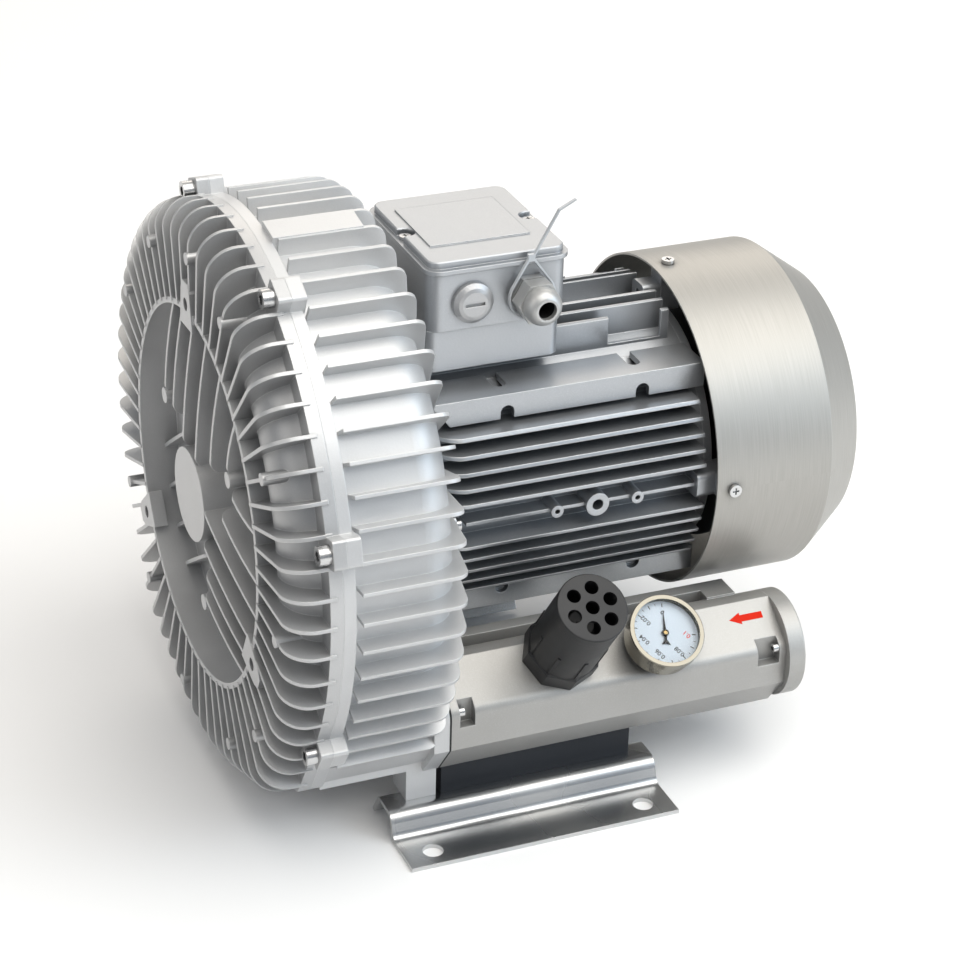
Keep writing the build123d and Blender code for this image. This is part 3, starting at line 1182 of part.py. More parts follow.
with BuildPart() as gland_nut:
    with BuildSketch(gland_seat.offset(7)):
        RegularPolygon(GLAND_FLATS / 2, 6, major_radius=False)
    extrude(amount=12)
    with BuildSketch(side_of(gland_seat)):
        with BuildLine():
            Polyline((0, 19), (13, 19), (13, 23))
            ThreePointArc((13, 23), (11.6, 28), (8, GLAND_LENGTH))
            Polyline((8, GLAND_LENGTH), (0, GLAND_LENGTH), (0, 19))
        make_face()
    revolve(axis=axis_of(gland_seat))
    seat_ring(gland_seat, 0, 11, 7, 18, mode=Mode.SUBTRACT)
    seat_ring(gland_seat, 0, 9, 18, 27, mode=Mode.SUBTRACT)
    seat_ring(gland_seat, 0, GLAND_BORE_R, 27, GLAND_LENGTH, mode=Mode.SUBTRACT)
gland_nut.part.label = "gland_nut"

with BuildPart() as gland_seal:
    seat_ring(gland_seat, GLAND_BORE_R, 9, 8, 27)
gland_seal.part.label = "gland_seal"

tie_r = GLAND_FLATS / 2 + 3.4
with BuildPart() as gland_tie:
    with BuildSketch(gland_seat.offset(3.3)):
        Circle(tie_r)
        Polygon((-tie_r * 0.94, tie_r * 0.34), (-3.5, TIE_HEAD_HEIGHT), (0.5, TIE_HEAD_HEIGHT),
                (tie_r * 0.85, tie_r * 0.53), align=None)
        Circle(tie_r - 1.2, mode=Mode.SUBTRACT)
        Polygon((-tie_r * 0.88, tie_r * 0.34), (-3, TIE_HEAD_HEIGHT - 2), (0, TIE_HEAD_HEIGHT - 2),
                (tie_r * 0.78, tie_r * 0.53), align=None, mode=Mode.SUBTRACT)
        with Locations((-1.5, TIE_HEAD_HEIGHT)):
            Rectangle(5, 5)
        Polygon((-1, TIE_HEAD_HEIGHT), (17, 60), (29, 66), (29.4, 65.1), (17.9, 59.2), (0.2, TIE_HEAD_HEIGHT),
                align=None)
    extrude(amount=2.5)
gland_tie.part.label = "gland_tie"

# Relief valve
tube_r = VALVE_R - VALVE_WALL
body_high = VALVE_HEIGHT - 8
with BuildPart() as valve_nut:
    seat_ring(valve_seat, 0, VALVE_NIPPLE_R, -VALVE_NIPPLE, 0)
    with BuildSketch(valve_seat):
        RegularPolygon(VALVE_NUT_FLATS / 2, 8, major_radius=False)
    extrude(amount=VALVE_NUT_HEIGHT)
    chamfer(valve_nut.faces().sort_by(axis_of(valve_seat))[-1].edges(), 1.5)
    seat_ring(valve_seat, 0, tube_r - 0.05, VALVE_NUT_HEIGHT - 1, VALVE_NUT_HEIGHT + 8)
    seat_ring(valve_seat, 0, VALVE_SEAT_R, -VALVE_NIPPLE, VALVE_NUT_HEIGHT + 8, mode=Mode.SUBTRACT)
    seat_ring(valve_seat, 0, VALVE_STEM_R + 3, 2, 12)
    with BuildSketch(valve_seat.offset(2)):
        Rectangle(2 * VALVE_SEAT_R + 2, 3)
        Rectangle(3, 2 * VALVE_SEAT_R + 2)
    extrude(amount=10)
    seat_ring(valve_seat, 0, VALVE_STEM_R + 0.05, 2, 12, mode=Mode.SUBTRACT)
valve_nut.part.label = "valve_nut"

with BuildPart() as valve_body:
    seat_ring(valve_seat, tube_r, VALVE_R, VALVE_NUT_HEIGHT, body_high)
    with BuildSketch(valve_seat.offset(VALVE_NUT_HEIGHT)):
        with PolarLocations(VALVE_R - 0.5, 8):
            Rectangle(2.6, 2.4)
        Circle(tube_r + 1, mode=Mode.SUBTRACT)
    extrude(amount=26)
valve_body.part.label = "valve_body"

with BuildPart() as valve_cap:
    seat_ring(valve_seat, 0, VALVE_R, body_high, VALVE_HEIGHT)
    fillet(valve_cap.edges().filter_by(GeomType.CIRCLE).sort_by(axis_of(valve_seat))[-1], 1)
    seat_ring(valve_seat, 0, tube_r, body_high - 5, body_high)
    seat_ring(valve_seat, 0, tube_r - 2, body_high - 5, VALVE_HEIGHT - 3, mode=Mode.SUBTRACT)
    with BuildSketch(valve_seat.offset(VALVE_HEIGHT)):
        Circle(VALVE_HOLE_R)
        with PolarLocations(VALVE_HOLE_CIRCLE_R, 6, start_angle=15):
            Circle(VALVE_HOLE_R)
    extrude(amount=-4, mode=Mode.SUBTRACT)
valve_cap.part.label = "valve_cap"

with BuildPart() as valve_poppet:
    seat_ring(valve_seat, 0, VALVE_SEAT_R + 2.5, -VALVE_NIPPLE - 3.3, -VALVE_NIPPLE - 0.3)
    seat_ring(valve_seat, 0, VALVE_STEM_R, -VALVE_NIPPLE - 0.3, KEEPER_HEIGHT + 4)
    seat_ring(valve_seat, 0, SPRING_R + 2, KEEPER_HEIGHT, KEEPER_HEIGHT + 3)
valve_poppet.part.label = "valve_poppet"

spring_length = KEEPER_HEIGHT - 12 - 2 * SPRING_WIRE_R
with BuildPart() as valve_spring:
    with BuildLine() as coil:
        Helix(pitch=spring_length / SPRING_TURNS, height=spring_length, radius=SPRING_R,
              center=valve_seat.offset(12 + SPRING_WIRE_R).origin, direction=valve_seat.z_dir)
    with BuildSketch(Plane(coil.line @ 0, z_dir=coil.line % 0)):
        Circle(SPRING_WIRE_R)
    sweep()
valve_spring.part.label = "valve_spring"

# Vacuum gauge
dial_h = GAUGE_HEIGHT - DIAL_DEPTH
with BuildPart() as gauge_stem:
    seat_ring(gauge_seat, 0, GAUGE_STEM_R, -8, GAUGE_BACK)
    with BuildSketch(gauge_seat.offset(1)):
        RegularPolygon(7, 6, major_radius=False)
    extrude(amount=5)
    seat_ring(gauge_seat, 0, 1.5, -8, GAUGE_BACK, mode=Mode.SUBTRACT)
gauge_stem.part.label = "gauge_stem"

with BuildPart() as gauge_case:
    seat_ring(gauge_seat, 0, GAUGE_R, GAUGE_BACK, dial_h)
    fillet(gauge_case.edges().filter_by(GeomType.CIRCLE).sort_by(axis_of(gauge_seat))[0], 1.5)
    seat_ring(gauge_seat, GAUGE_R - 1.5, GAUGE_R, dial_h, GAUGE_HEIGHT - 2)
    seat_ring(gauge_seat, 0, 1, dial_h - 4, dial_h, mode=Mode.SUBTRACT)
gauge_case.part.label = "gauge_case"

with BuildPart() as gauge_dial:
    seat_ring(gauge_seat, 1.2, GAUGE_R - 1.5, dial_h, dial_h + 0.8)
gauge_dial.part.label = "gauge_dial"

with BuildPart() as gauge_pointer:
    seat_ring(gauge_seat, 0, 0.95, dial_h - 3.9, dial_h + 1.5)
    seat_ring(gauge_seat, 0, 2.4, dial_h + 1.4, dial_h + 3)
    with BuildSketch(gauge_seat.offset(dial_h + 1.4)):
        with BuildLine():
            outline = Polyline((POINTER_LENGTH, 0), (0, 1), (-5, 0.8), (-8.5, 3.2), (-7.5, 0), (-8.5, -3.2),
                               (-5, -0.8), (0, -1), close=True, mode=Mode.PRIVATE)
            add(outline.rotate(Axis.Z, POINTER_ZERO))
        make_face()
    extrude(amount=0.6)
gauge_pointer.part.label = "gauge_pointer"

with BuildPart() as gauge_glass:
    seat_ring(gauge_seat, 0, GAUGE_R, GAUGE_HEIGHT - 2, GAUGE_HEIGHT - 0.5)
gauge_glass.part.label = "gauge_glass"

with BuildPart() as gauge_bezel:
    seat_ring(gauge_seat, GAUGE_R, GAUGE_R + BEZEL_WALL, GAUGE_HEIGHT - BEZEL_DEPTH, GAUGE_HEIGHT + 0.3)
    seat_ring(gauge_seat, GAUGE_R - 2, GAUGE_R + 0.5, GAUGE_HEIGHT - 0.5, GAUGE_HEIGHT + 0.3)
    fillet(gauge_bezel.edges().filter_by(GeomType.CIRCLE).group_by(axis_of(gauge_seat))[-1]
           .sort_by(SortBy.RADIUS)[-1], 0.7)
gauge_bezel.part.label = "gauge_bezel"

pieces = [
    front_cover.part, rear_housing.part, housing_seal.part, casing_screws,
    near_silencer, far_silencer, near_gasket.part, far_gasket, near_foam.part, far_foam,
    near_port.part, far_port, silencer_screws, near_foot.part, far_foot, foot_bolts.part,
    motor_frame.part, rear_end_shield.part, motor_screws, stator_core.part, stator_windings.part,
    motor_shaft.part, rotor_core.part, front_bearing_inner, front_bearing_outer,
    rear_bearing_inner, rear_bearing_outer, wave_washer.part, shaft_seal.part,
    impeller.part, impeller_key.part, impeller_screw.part, cooling_fan.part,
    fan_cowl.part, cowl_screws.part, terminal_box.part, terminal_box_gasket.part,
    terminal_box_cover.part, cover_screws.part, terminal_block.part, terminal_studs.part,
    blind_plug.part, gland_body.part, gland_nut.part, gland_seal.part, gland_tie.part,
    valve_nut.part, valve_body.part, valve_cap.part, valve_poppet.part, valve_spring.part,
    gauge_stem.part, gauge_case.part, gauge_dial.part, gauge_pointer.part, gauge_glass.part,
    gauge_bezel.part,
]
os.makedirs("parts", exist_ok=True)
for piece in pieces:
    export_step(piece, f"parts/{piece.label}.step")
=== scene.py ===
"""Side channel blower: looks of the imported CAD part, with markings, floor, light and camera."""

import json
import math

import bmesh
import bpy
from mathutils import Matrix, Vector

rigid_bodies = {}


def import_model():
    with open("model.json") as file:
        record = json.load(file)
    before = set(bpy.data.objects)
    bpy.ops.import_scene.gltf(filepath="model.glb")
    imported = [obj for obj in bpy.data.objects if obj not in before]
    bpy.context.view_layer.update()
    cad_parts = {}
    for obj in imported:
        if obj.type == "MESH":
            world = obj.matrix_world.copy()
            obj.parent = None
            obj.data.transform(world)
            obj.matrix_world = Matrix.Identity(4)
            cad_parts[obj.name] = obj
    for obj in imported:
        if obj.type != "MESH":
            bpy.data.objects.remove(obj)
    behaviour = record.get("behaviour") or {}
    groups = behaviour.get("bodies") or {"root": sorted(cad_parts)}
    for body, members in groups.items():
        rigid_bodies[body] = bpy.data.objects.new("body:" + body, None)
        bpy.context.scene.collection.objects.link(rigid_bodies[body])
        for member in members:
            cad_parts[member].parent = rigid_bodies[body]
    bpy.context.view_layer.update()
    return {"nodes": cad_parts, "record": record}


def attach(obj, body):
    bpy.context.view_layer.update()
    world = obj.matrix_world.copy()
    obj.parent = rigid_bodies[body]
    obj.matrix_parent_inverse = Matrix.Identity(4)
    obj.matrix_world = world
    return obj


MM = 0.001

# Slope of the near silencer, on which the gauge, the relief valve and the arrow sit.
SLOPE_NORMAL = Vector((0.0, -0.60876, 0.79335))
SLOPE_UP = Vector((0.0, 0.79335, 0.60876))
GAUGE_SEAT = Vector((97.0, -137.0, 111.52)) * MM
SILENCER_BOTTOM_Z = 44.5 * MM

# Dial: angles in degrees from +X towards the slope's upper edge.
DIAL_ZERO_ANGLE = 76.8
DIAL_SWEEP = 270.0
DIAL_LAST = 0.1
DIAL_STEPS = 20
DIAL_STEPS_PER_LONG_MARK = 2
DIAL_NUMBERS = 6

# Marks and digits of the dial. Lengths and circles are shares of the dial's radius.
DIAL_MARK_END = 0.93
LONG_MARK_LENGTH = 0.11
LONG_MARK_WIDTH = 0.65 * MM
SHORT_MARK_LENGTH = 0.06
SHORT_MARK_WIDTH = 0.36 * MM
DIGIT_HEIGHT = 3.5 * MM
DIGIT_BOLDNESS = 0.06 * MM
DIGIT_CIRCLE = 0.66
FONT_SIZE_PER_DIGIT = 1.35

# Cap over the pointer's hub: share of its radius and height in millimetres, from the middle out.
HUB_CAP_R = 1.7 * MM
HUB_CAP_SIDES = 32
HUB_CAP_PROFILE = ((0.0, 0.45), (0.55, 0.42), (0.85, 0.30), (1.0, 0.12), (1.0, 0.0))

# Flow arrow on the slope.
ARROW_TIP_X = 157.0 * MM
ARROW_TAIL_X = 183.0 * MM
ARROW_Y = -131.3 * MM
ARROW_SHAFT = 5.0 * MM
ARROW_HEAD = 9.0 * MM
ARROW_HEAD_LENGTH = 9.0 * MM

PRINT_THICKNESS = 0.05 * MM

# Fan cowl: the axis that its brushing runs round.
SHAFT_HEIGHT = 214.5 * MM

# Tones over the paint of the castings: painted shade deep in the gaps, random flakes, a painted highlight
# on rounded edges, and the dark tone of the silencers' skirt below their bottom.
PAINTED_SHADE_TONE = (0.060, 0.068, 0.078)
FLAKE_TONE = (0.80, 0.81, 0.82)
EDGE_HIGHLIGHT_TONE = (0.86, 0.86, 0.85)
SHADED_TONE = (0.018, 0.021, 0.027)

# Ray samples of the rounded edges and of the gaps.
EDGE_SAMPLES = 4
GAP_SAMPLES = 5

# Floor in metres, its tone for the camera and its tone for what it lights, and the room's tones by height.
FLOOR_SIZE = 40
FLOOR_SEEN = (0.97, 0.97, 0.97)
FLOOR_LIT = (0.30, 0.30, 0.31)
ROOM_STRENGTH = 0.9
ROOM_TONES = (
    (0.0, (0.24, 0.27, 0.31)),
    (0.25, (0.34, 0.37, 0.41)),
    (0.55, (0.56, 0.56, 0.56)),
    (1.0, (0.78, 0.76, 0.73)),
)

# Point that the lights face.
LIGHT_TARGET = Vector((0, 0, 0.2))

# Camera: places and lens in millimetres, angles in degrees, nearest and farthest view in metres.
CAMERA_AZIMUTH = -23.26
CAMERA_ELEVATION = 28.16
CAMERA_ROLL = 1.64
CAMERA_DISTANCE = 1977.2
CAMERA_SHIFT_RIGHT = 22.94
CAMERA_SHIFT_UP = -20.51
CAMERA_TARGET = (-5.5, 0.0, 214.5)
CAMERA_LENS = 105.44
CAMERA_SENSOR = 36
CAMERA_NEAR = 0.05
CAMERA_FAR = 50


# Material building blocks

def new_material(name, color, metallic, roughness):
    """Material with one Principled shader."""
    material = bpy.data.materials.new(name)
    material.use_nodes = True
    shader = shader_of(material)
    shader.inputs["Base Color"].default_value = (*color, 1)
    shader.inputs["Metallic"].default_value = metallic
    shader.inputs["Roughness"].default_value = roughness
    return material


def shader_of(material):
    """The material's Principled shader."""
    return material.node_tree.nodes["Principled BSDF"]


def node(material, kind, **inputs):
    """New shader node with its inputs set by name, spaces written as underscores."""
    made = material.node_tree.nodes.new(kind)
    for name, value in inputs.items():
        made.inputs[name.replace("_", " ")].default_value = value
    return made


def link(material, source, target):
    """Wire from an output to an input."""
    material.node_tree.links.new(source, target)


def math_node(material, operation, first, second=0.0):
    """Math node; each operand is an output or a number."""
    made = material.node_tree.nodes.new("ShaderNodeMath")
    made.operation = operation
    for socket, value in zip(made.inputs, (first, second)):
        if isinstance(value, (int, float)):
            socket.default_value = value
        else:
            link(material, value, socket)
    return made.outputs["Value"]


def spread(material, value, low, high, to_low, to_high):
    """Maps value from low..high to to_low..to_high, held at the ends."""
    made = node(material, "ShaderNodeMapRange",
                From_Min=low, From_Max=high, To_Min=to_low, To_Max=to_high)
    link(material, value, made.inputs["Value"])
    return made.outputs["Result"]


def even_spread(material, pattern, low=0.35, high=0.65):
    """Share from 0 to 1 over the middle of a noise pattern."""
    return spread(material, pattern, low, high, 0.0, 1.0)


def blend_color(material, factor, below, above):
    """Mixes two colours, each given as an output or as three numbers."""
    made = node(material, "ShaderNodeMix")
    made.data_type = "RGBA"
    link(material, factor, made.inputs["Factor"])
    for socket, value in ((made.inputs["A"], below), (made.inputs["B"], above)):
        if isinstance(value, tuple):
            socket.default_value = (*value, 1)
        else:
            link(material, value, socket)
    return made.outputs["Result"]


def place_of(material, stretch=(1, 1, 1)):
    """Object coordinates, stretched along the axes."""
    place = material.node_tree.nodes.new("ShaderNodeTexCoord")
    mapping = node(material, "ShaderNodeMapping", Scale=stretch)
    link(material, place.outputs["Object"], mapping.inputs["Vector"])
    return mapping.outputs["Vector"]


def round_place(material, along, around):
    """Coordinates that run along the shaft and round it, for brushing round the cowl."""
    place = material.node_tree.nodes.new("ShaderNodeTexCoord")
    parts = material.node_tree.nodes.new("ShaderNodeSeparateXYZ")
    link(material, place.outputs["Object"], parts.inputs["Vector"])
    height = math_node(material, "SUBTRACT", parts.outputs["Z"], SHAFT_HEIGHT)
    angle = math_node(material, "ARCTAN2", height, parts.outputs["Y"])
    joined = material.node_tree.nodes.new("ShaderNodeCombineXYZ")
    link(material, math_node(material, "MULTIPLY", parts.outputs["X"], along), joined.inputs["X"])
    link(material, math_node(material, "MULTIPLY", angle, around), joined.inputs["Y"])
    return joined.outputs["Vector"]


def noise(material, place, scale, detail=3.0):
    """Noise pattern from 0 to 1."""
    made = node(material, "ShaderNodeTexNoise", Scale=scale, Detail=detail)
    link(material, place, made.inputs["Vector"])
    return made.outputs["Fac"]


def rounded_normal(material, radius):
    """Normal that rounds sharp edges by a radius."""
    made = node(material, "ShaderNodeBevel", Radius=radius)
    made.samples = EDGE_SAMPLES
    return made.outputs["Normal"]


def relief(material, height, strength, depth, normal=None):
    """Bump from height, over a rounded normal where there is one."""
    made = node(material, "ShaderNodeBump", Strength=strength, Distance=depth)
    link(material, height, made.inputs["Height"])
    if normal is not None:
        link(material, normal, made.inputs["Normal"])
    link(material, made.outputs["Normal"], shader_of(material).inputs["Normal"])


def edge_mask(material, rounded):
    """One on rounded edges and nothing on flat faces."""
    shape = material.node_tree.nodes.new("ShaderNodeNewGeometry")
    product = material.node_tree.nodes.new("ShaderNodeVectorMath")
    product.operation = "DOT_PRODUCT"
    link(material, rounded, product.inputs[0])
    link(material, shape.outputs["Normal"], product.inputs[1])
    return spread(material, product.outputs["Value"], 0.995, 0.86, 0.0, 1.0)


def recess_mask(material, reach):
    """One deep in gaps and corners, and nothing on open faces."""
    made = node(material, "ShaderNodeAmbientOcclusion", Distance=reach)
    made.samples = GAP_SAMPLES
    return spread(material, made.outputs["AO"], 0.25, 0.95, 1.0, 0.0)


def below_height(material, place, height):
    """One below a height and nothing above it, with a narrow edge."""
    parts = material.node_tree.nodes.new("ShaderNodeSeparateXYZ")
    link(material, place, parts.inputs["Vector"])
    return spread(material, parts.outputs["Z"], height - 0.4 * MM, height, 1.0, 0.0)


def uneven_gloss(material, pattern, amount):
    """Roughness that wanders by an amount to both sides of the material's own."""
    shader = shader_of(material)
    gloss = shader.inputs["Roughness"].default_value
    link(material, spread(material, pattern, 0.3, 0.7, gloss - amount, gloss + amount),
         shader.inputs["Roughness"])


# Materials

def cast_paint(name, color, metallic=0.75, roughness=0.36, shade=0.5, reach=16 * MM, dark_below=None):
    """Silver paint over sand-cast aluminium: fine skin, rounded edges lightened as a painted highlight,
    and painted shade, a dull dark tone, deep in the gaps.
    """
    look = new_material(name, color, metallic, roughness)
    place = place_of(look)
    rounded = rounded_normal(look, radius=0.9 * MM)
    skin = noise(look, place, scale=650, detail=5.0)
    clouds = noise(look, place, scale=14)
    relief(look, skin, strength=0.22, depth=0.35 * MM, normal=rounded)
    uneven_gloss(look, clouds, amount=0.06)
    dull, bright = (tuple(min(1, c * gain) for c in color) for gain in (0.95, 1.05))
    tone = blend_color(look, even_spread(look, clouds), dull, bright)
    flakes = spread(look, noise(look, place, scale=2600, detail=1.0), 0.55, 0.75, 0.0, 0.35)
    tone = blend_color(look, flakes, tone, FLAKE_TONE)
    # Painted shade: gaps and corners darken towards a dull dark tone.
    painted_shade = math_node(look, "MULTIPLY", recess_mask(look, reach), shade)
    tone = blend_color(look, painted_shade, tone, PAINTED_SHADE_TONE)
    # Painted highlight: rounded edges are lightened towards a pale tone.
    edge_highlight = math_node(look, "MULTIPLY", edge_mask(look, rounded), 0.55)
    tone = blend_color(look, edge_highlight, tone, EDGE_HIGHLIGHT_TONE)
    if dark_below is not None:
        tone = blend_color(look, below_height(look, place, dark_below), tone, SHADED_TONE)
    link(look, tone, shader_of(look).inputs["Base Color"])
    return look


def cowl_paint():
    """Spun sheet with a warm silver coat, finely brushed round the shaft, with painted shade inside and a
    painted highlight on its edges.
    """
    look = new_material("cowl_sheet", (0.455, 0.445, 0.42), metallic=0.6, roughness=0.44)
    rounded = rounded_normal(look, radius=0.8 * MM)
    brushing = noise(look, round_place(look, along=1400, around=3), scale=1.0, detail=4.0)
    relief(look, brushing, strength=0.03, depth=0.05 * MM, normal=rounded)
    uneven_gloss(look, noise(look, place_of(look), scale=7, detail=1.0), amount=0.03)
    tone = blend_color(look, even_spread(look, brushing), (0.435, 0.42, 0.39), (0.48, 0.465, 0.435))
    # Painted shade: deep inside the cowl the tone darkens to near black.
    inner = math_node(look, "MULTIPLY", recess_mask(look, reach=30 * MM), 0.9)
    tone = blend_color(look, inner, tone, (0.02, 0.022, 0.025))
    # Painted highlight: the cowl's rounded edges are lightened towards a pale tone.
    edge_highlight = math_node(look, "MULTIPLY", edge_mask(look, rounded), 0.6)
    tone = blend_color(look, edge_highlight, tone, (0.88, 0.88, 0.86))
    link(look, tone, shader_of(look).inputs["Base Color"])
    return look


def rolled_steel():
    """Bent rail sheet with mill lines across its length."""
    look = new_material("zinc_sheet", (0.58, 0.585, 0.59), metallic=1.0, roughness=0.27)
    rounded = rounded_normal(look, radius=0.6 * MM)
    lines = noise(look, place_of(look, (1, 0.05, 0.05)), scale=1100, detail=5.0)
    relief(look, lines, strength=0.10, depth=0.12 * MM, normal=rounded)
    stains = noise(look, place_of(look), scale=12, detail=1.0)
    uneven_gloss(look, stains, amount=0.03)
    tone = blend_color(look, even_spread(look, stains), (0.55, 0.56, 0.57), (0.62, 0.62, 0.615))
    link(look, tone, shader_of(look).inputs["Base Color"])
    return look


def turned_metal(name, color, roughness, metallic=1.0, shade=0.5):
    """Plated or machined steel, brass or chrome, with painted shade in its small recesses."""
    look = new_material(name, color, metallic, roughness)
    place = place_of(look)
    grain = noise(look, place, scale=1500, detail=3.0)
    relief(look, grain, strength=0.05, depth=0.1 * MM, normal=rounded_normal(look, radius=0.35 * MM))
    uneven_gloss(look, noise(look, place, scale=120), amount=min(0.05, roughness / 2))
    # Painted shade: small recesses darken towards a near-black copy of the colour.
    painted_shade = math_node(look, "MULTIPLY", recess_mask(look, reach=3 * MM), shade)
    tone = blend_color(look, painted_shade, color, tuple(c * 0.12 for c in color))
    link(look, tone, shader_of(look).inputs["Base Color"])
    return look


def plastic(name, color, roughness, grain=0.12, rounding=0.5 * MM):
    """Moulded plastic or rubber with a fine grain and a cloudy tone."""
    look = new_material(name, color, metallic=0.0, roughness=roughness)
    place = place_of(look)
    skin = noise(look, place, scale=1300, detail=4.0)
    relief(look, skin, strength=grain, depth=0.2 * MM, normal=rounded_normal(look, radius=rounding))
    clouds = noise(look, place, scale=40)
    uneven_gloss(look, clouds, amount=0.06)
    faded = tuple(c * 1.25 + 0.002 for c in color)
    tone = blend_color(look, even_spread(look, clouds, 0.4, 0.7), color, faded)
    link(look, tone, shader_of(look).inputs["Base Color"])
    return look


def open_foam():
    """Open-cell foam: pits darkened as painted shade between lighter cell walls."""
    look = new_material("foam", (0.05, 0.05, 0.055), metallic=0.0, roughness=0.95)
    cells = node(look, "ShaderNodeTexVoronoi", Scale=420)
    link(look, place_of(look), cells.inputs["Vector"])
    relief(look, cells.outputs["Distance"], strength=0.9, depth=1.2 * MM)
    # Painted shade: the tone is darker deep in the cells' pits.
    depth = even_spread(look, cells.outputs["Distance"], 0.1, 0.6)
    tone = blend_color(look, depth, (0.02, 0.02, 0.022), (0.09, 0.09, 0.095))
    link(look, tone, shader_of(look).inputs["Base Color"])
    return look


def stacked_sheets():
    """Laminations: fine lines across the shaft."""
    look = new_material("lamination", (0.16, 0.16, 0.17), metallic=0.8, roughness=0.45)
    lines = node(look, "ShaderNodeTexWave", Scale=320, Distortion=0.0)
    lines.wave_type = "BANDS"
    link(look, place_of(look), lines.inputs["Vector"])
    relief(look, lines.outputs["Fac"], strength=0.4, depth=0.2 * MM)
    return look


def copper_wire():
    """Enamelled strands along the shaft."""
    look = new_material("winding", (0.45, 0.17, 0.06), metallic=0.85, roughness=0.32)
    strands = noise(look, place_of(look, (0.15, 1, 1)), scale=900, detail=2.0)
    relief(look, strands, strength=0.6, depth=0.5 * MM)
    tone = blend_color(look, even_spread(look, strands), (0.30, 0.10, 0.03), (0.55, 0.24, 0.09))
    link(look, tone, shader_of(look).inputs["Base Color"])
    return look


def enamel(name, color, roughness=0.45):
    """Printed or enamelled surface with little gloss and fine specks."""
    look = new_material(name, color, metallic=0.0, roughness=roughness)
    shader_of(look).inputs["Specular IOR Level"].default_value = 0.25
    uneven_gloss(look, noise(look, place_of(look), scale=90), amount=0.05)
    speck = noise(look, place_of(look), scale=1800, detail=2.0)
    tone = blend_color(look, even_spread(look, speck), tuple(c * 0.97 for c in color), color)
    link(look, tone, shader_of(look).inputs["Base Color"])
    return look


def clear_glass():
    """Flat gauge glass, faintly uneven. Its low index keeps the room's mirror image off the dial."""
    look = new_material("gauge_glass", (1.0, 1.0, 1.0), metallic=0.0, roughness=0.02)
    shader = shader_of(look)
    shader.inputs["Transmission Weight"].default_value = 1.0
    shader.inputs["IOR"].default_value = 1.12
    relief(look, noise(look, place_of(look), scale=20), strength=0.02, depth=0.05 * MM)
    return look


def make_materials():
    """One material for each of the record's material slots."""
    return {
        "cast_silver": cast_paint("cast_silver", (0.46, 0.475, 0.495)),
        "cowl_sheet": cowl_paint(),
        "zinc_sheet": rolled_steel(),
        "screw_steel": turned_metal("screw_steel", (0.60, 0.60, 0.60), roughness=0.24),
        "shaft_steel": turned_metal("shaft_steel", (0.56, 0.56, 0.57), roughness=0.20),
        "lamination": stacked_sheets(),
        "winding": copper_wire(),
        "bare_aluminium": turned_metal("bare_aluminium", (0.68, 0.68, 0.69), roughness=0.38),
        "seal_rubber": plastic("seal_rubber", (0.012, 0.012, 0.012), roughness=0.60, grain=0.2),
        "foam": open_foam(),
        "black_plastic": plastic("black_plastic", (0.013, 0.013, 0.014), roughness=0.46, grain=0.2),
        "grey_plastic": plastic("grey_plastic", (0.040, 0.042, 0.045), roughness=0.45),
        "brass": turned_metal("brass", (0.58, 0.42, 0.20), roughness=0.28),
        "chrome": turned_metal("chrome", (0.27, 0.255, 0.215), roughness=0.14, shade=0.7),
        "dial_white": enamel("dial_white", (0.66, 0.74, 0.82)),
        "pointer_black": enamel("pointer_black", (0.008, 0.008, 0.008), roughness=0.35),
        "gauge_glass": clear_glass(),
    }


def node_lit_copies_and_finishes():
    """Materials of single nodes that differ from the rest of their slot: lighter copies of the silver
    paint for the housing and cover, set to how light falls on them as painted light, a warmer copy for the
    silencers, and finishes of their own for the plug, gland and tie.
    """
    # Painted light: the housing and cover are lit copies of the one silver paint, lighter than the slot's
    # own.
    housing = cast_paint("housing_paint_lit_copy", (0.68, 0.68, 0.68), metallic=0.5, roughness=0.45, shade=0.05)
    cover = cast_paint("cover_paint_lit_copy", (0.60, 0.60, 0.60), metallic=0.6, roughness=0.42, shade=0.35,
                       reach=20 * MM)
    silencer = cast_paint("silencer_paint", (0.46, 0.45, 0.43), metallic=0.5, roughness=0.43,
                          dark_below=SILENCER_BOTTOM_Z)
    fitting = turned_metal("fitting_silver", (0.54, 0.54, 0.53), roughness=0.38, metallic=0.6)
    return {
        "front_cover": cover,
        "rear_housing": housing,
        "near_silencer": silencer,
        "far_silencer": silencer,
        "near_port": silencer,
        "far_port": silencer,
        "blind_plug": cast_paint("plug_silver", (0.50, 0.50, 0.505), metallic=0.6, shade=0.3),
        "gland_body": fitting,
        "gland_nut": fitting,
        "gland_tie": plastic("tie_pale", (0.52, 0.54, 0.56), roughness=0.38, grain=0.05,
                             rounding=0.2 * MM),
    }


def dress_nodes(frame, materials):
    """Gives each CAD node the material of its slot, or its own."""
    own = node_lit_copies_and_finishes()
    for part in frame["record"]["subparts"]:
        shown = frame["nodes"][part["node"]]
        shown.data.materials.clear()
        shown.data.materials.append(own.get(part["node"], materials[part["material_slot"]]))


# Markings

def new_piece(name, mesh, material, body):
    """Shown piece that rides on a body."""
    piece = bpy.data.objects.new(name, mesh)
    bpy.context.scene.collection.objects.link(piece)
    mesh.materials.clear()
    mesh.materials.append(material)
    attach(piece, body)


def raised_shape(bm, corners, base, normal):
    """Closed thin plate over the corners, standing on base and raised along normal."""
    low = [bm.verts.new(base + corner) for corner in corners]
    high = [bm.verts.new(base + corner + normal * PRINT_THICKNESS) for corner in corners]
    bm.faces.new(high)
    bm.faces.new(low[::-1])
    count = len(corners)
    for i in range(count):
        bm.faces.new((low[i], low[(i + 1) % count], high[(i + 1) % count], high[i]))


def finished_mesh(bm, name):
    """Mesh with its faces turned outwards."""
    bmesh.ops.recalc_face_normals(bm, faces=bm.faces)
    mesh = bpy.data.meshes.new(name)
    bm.to_mesh(mesh)
    bm.free()
    return mesh


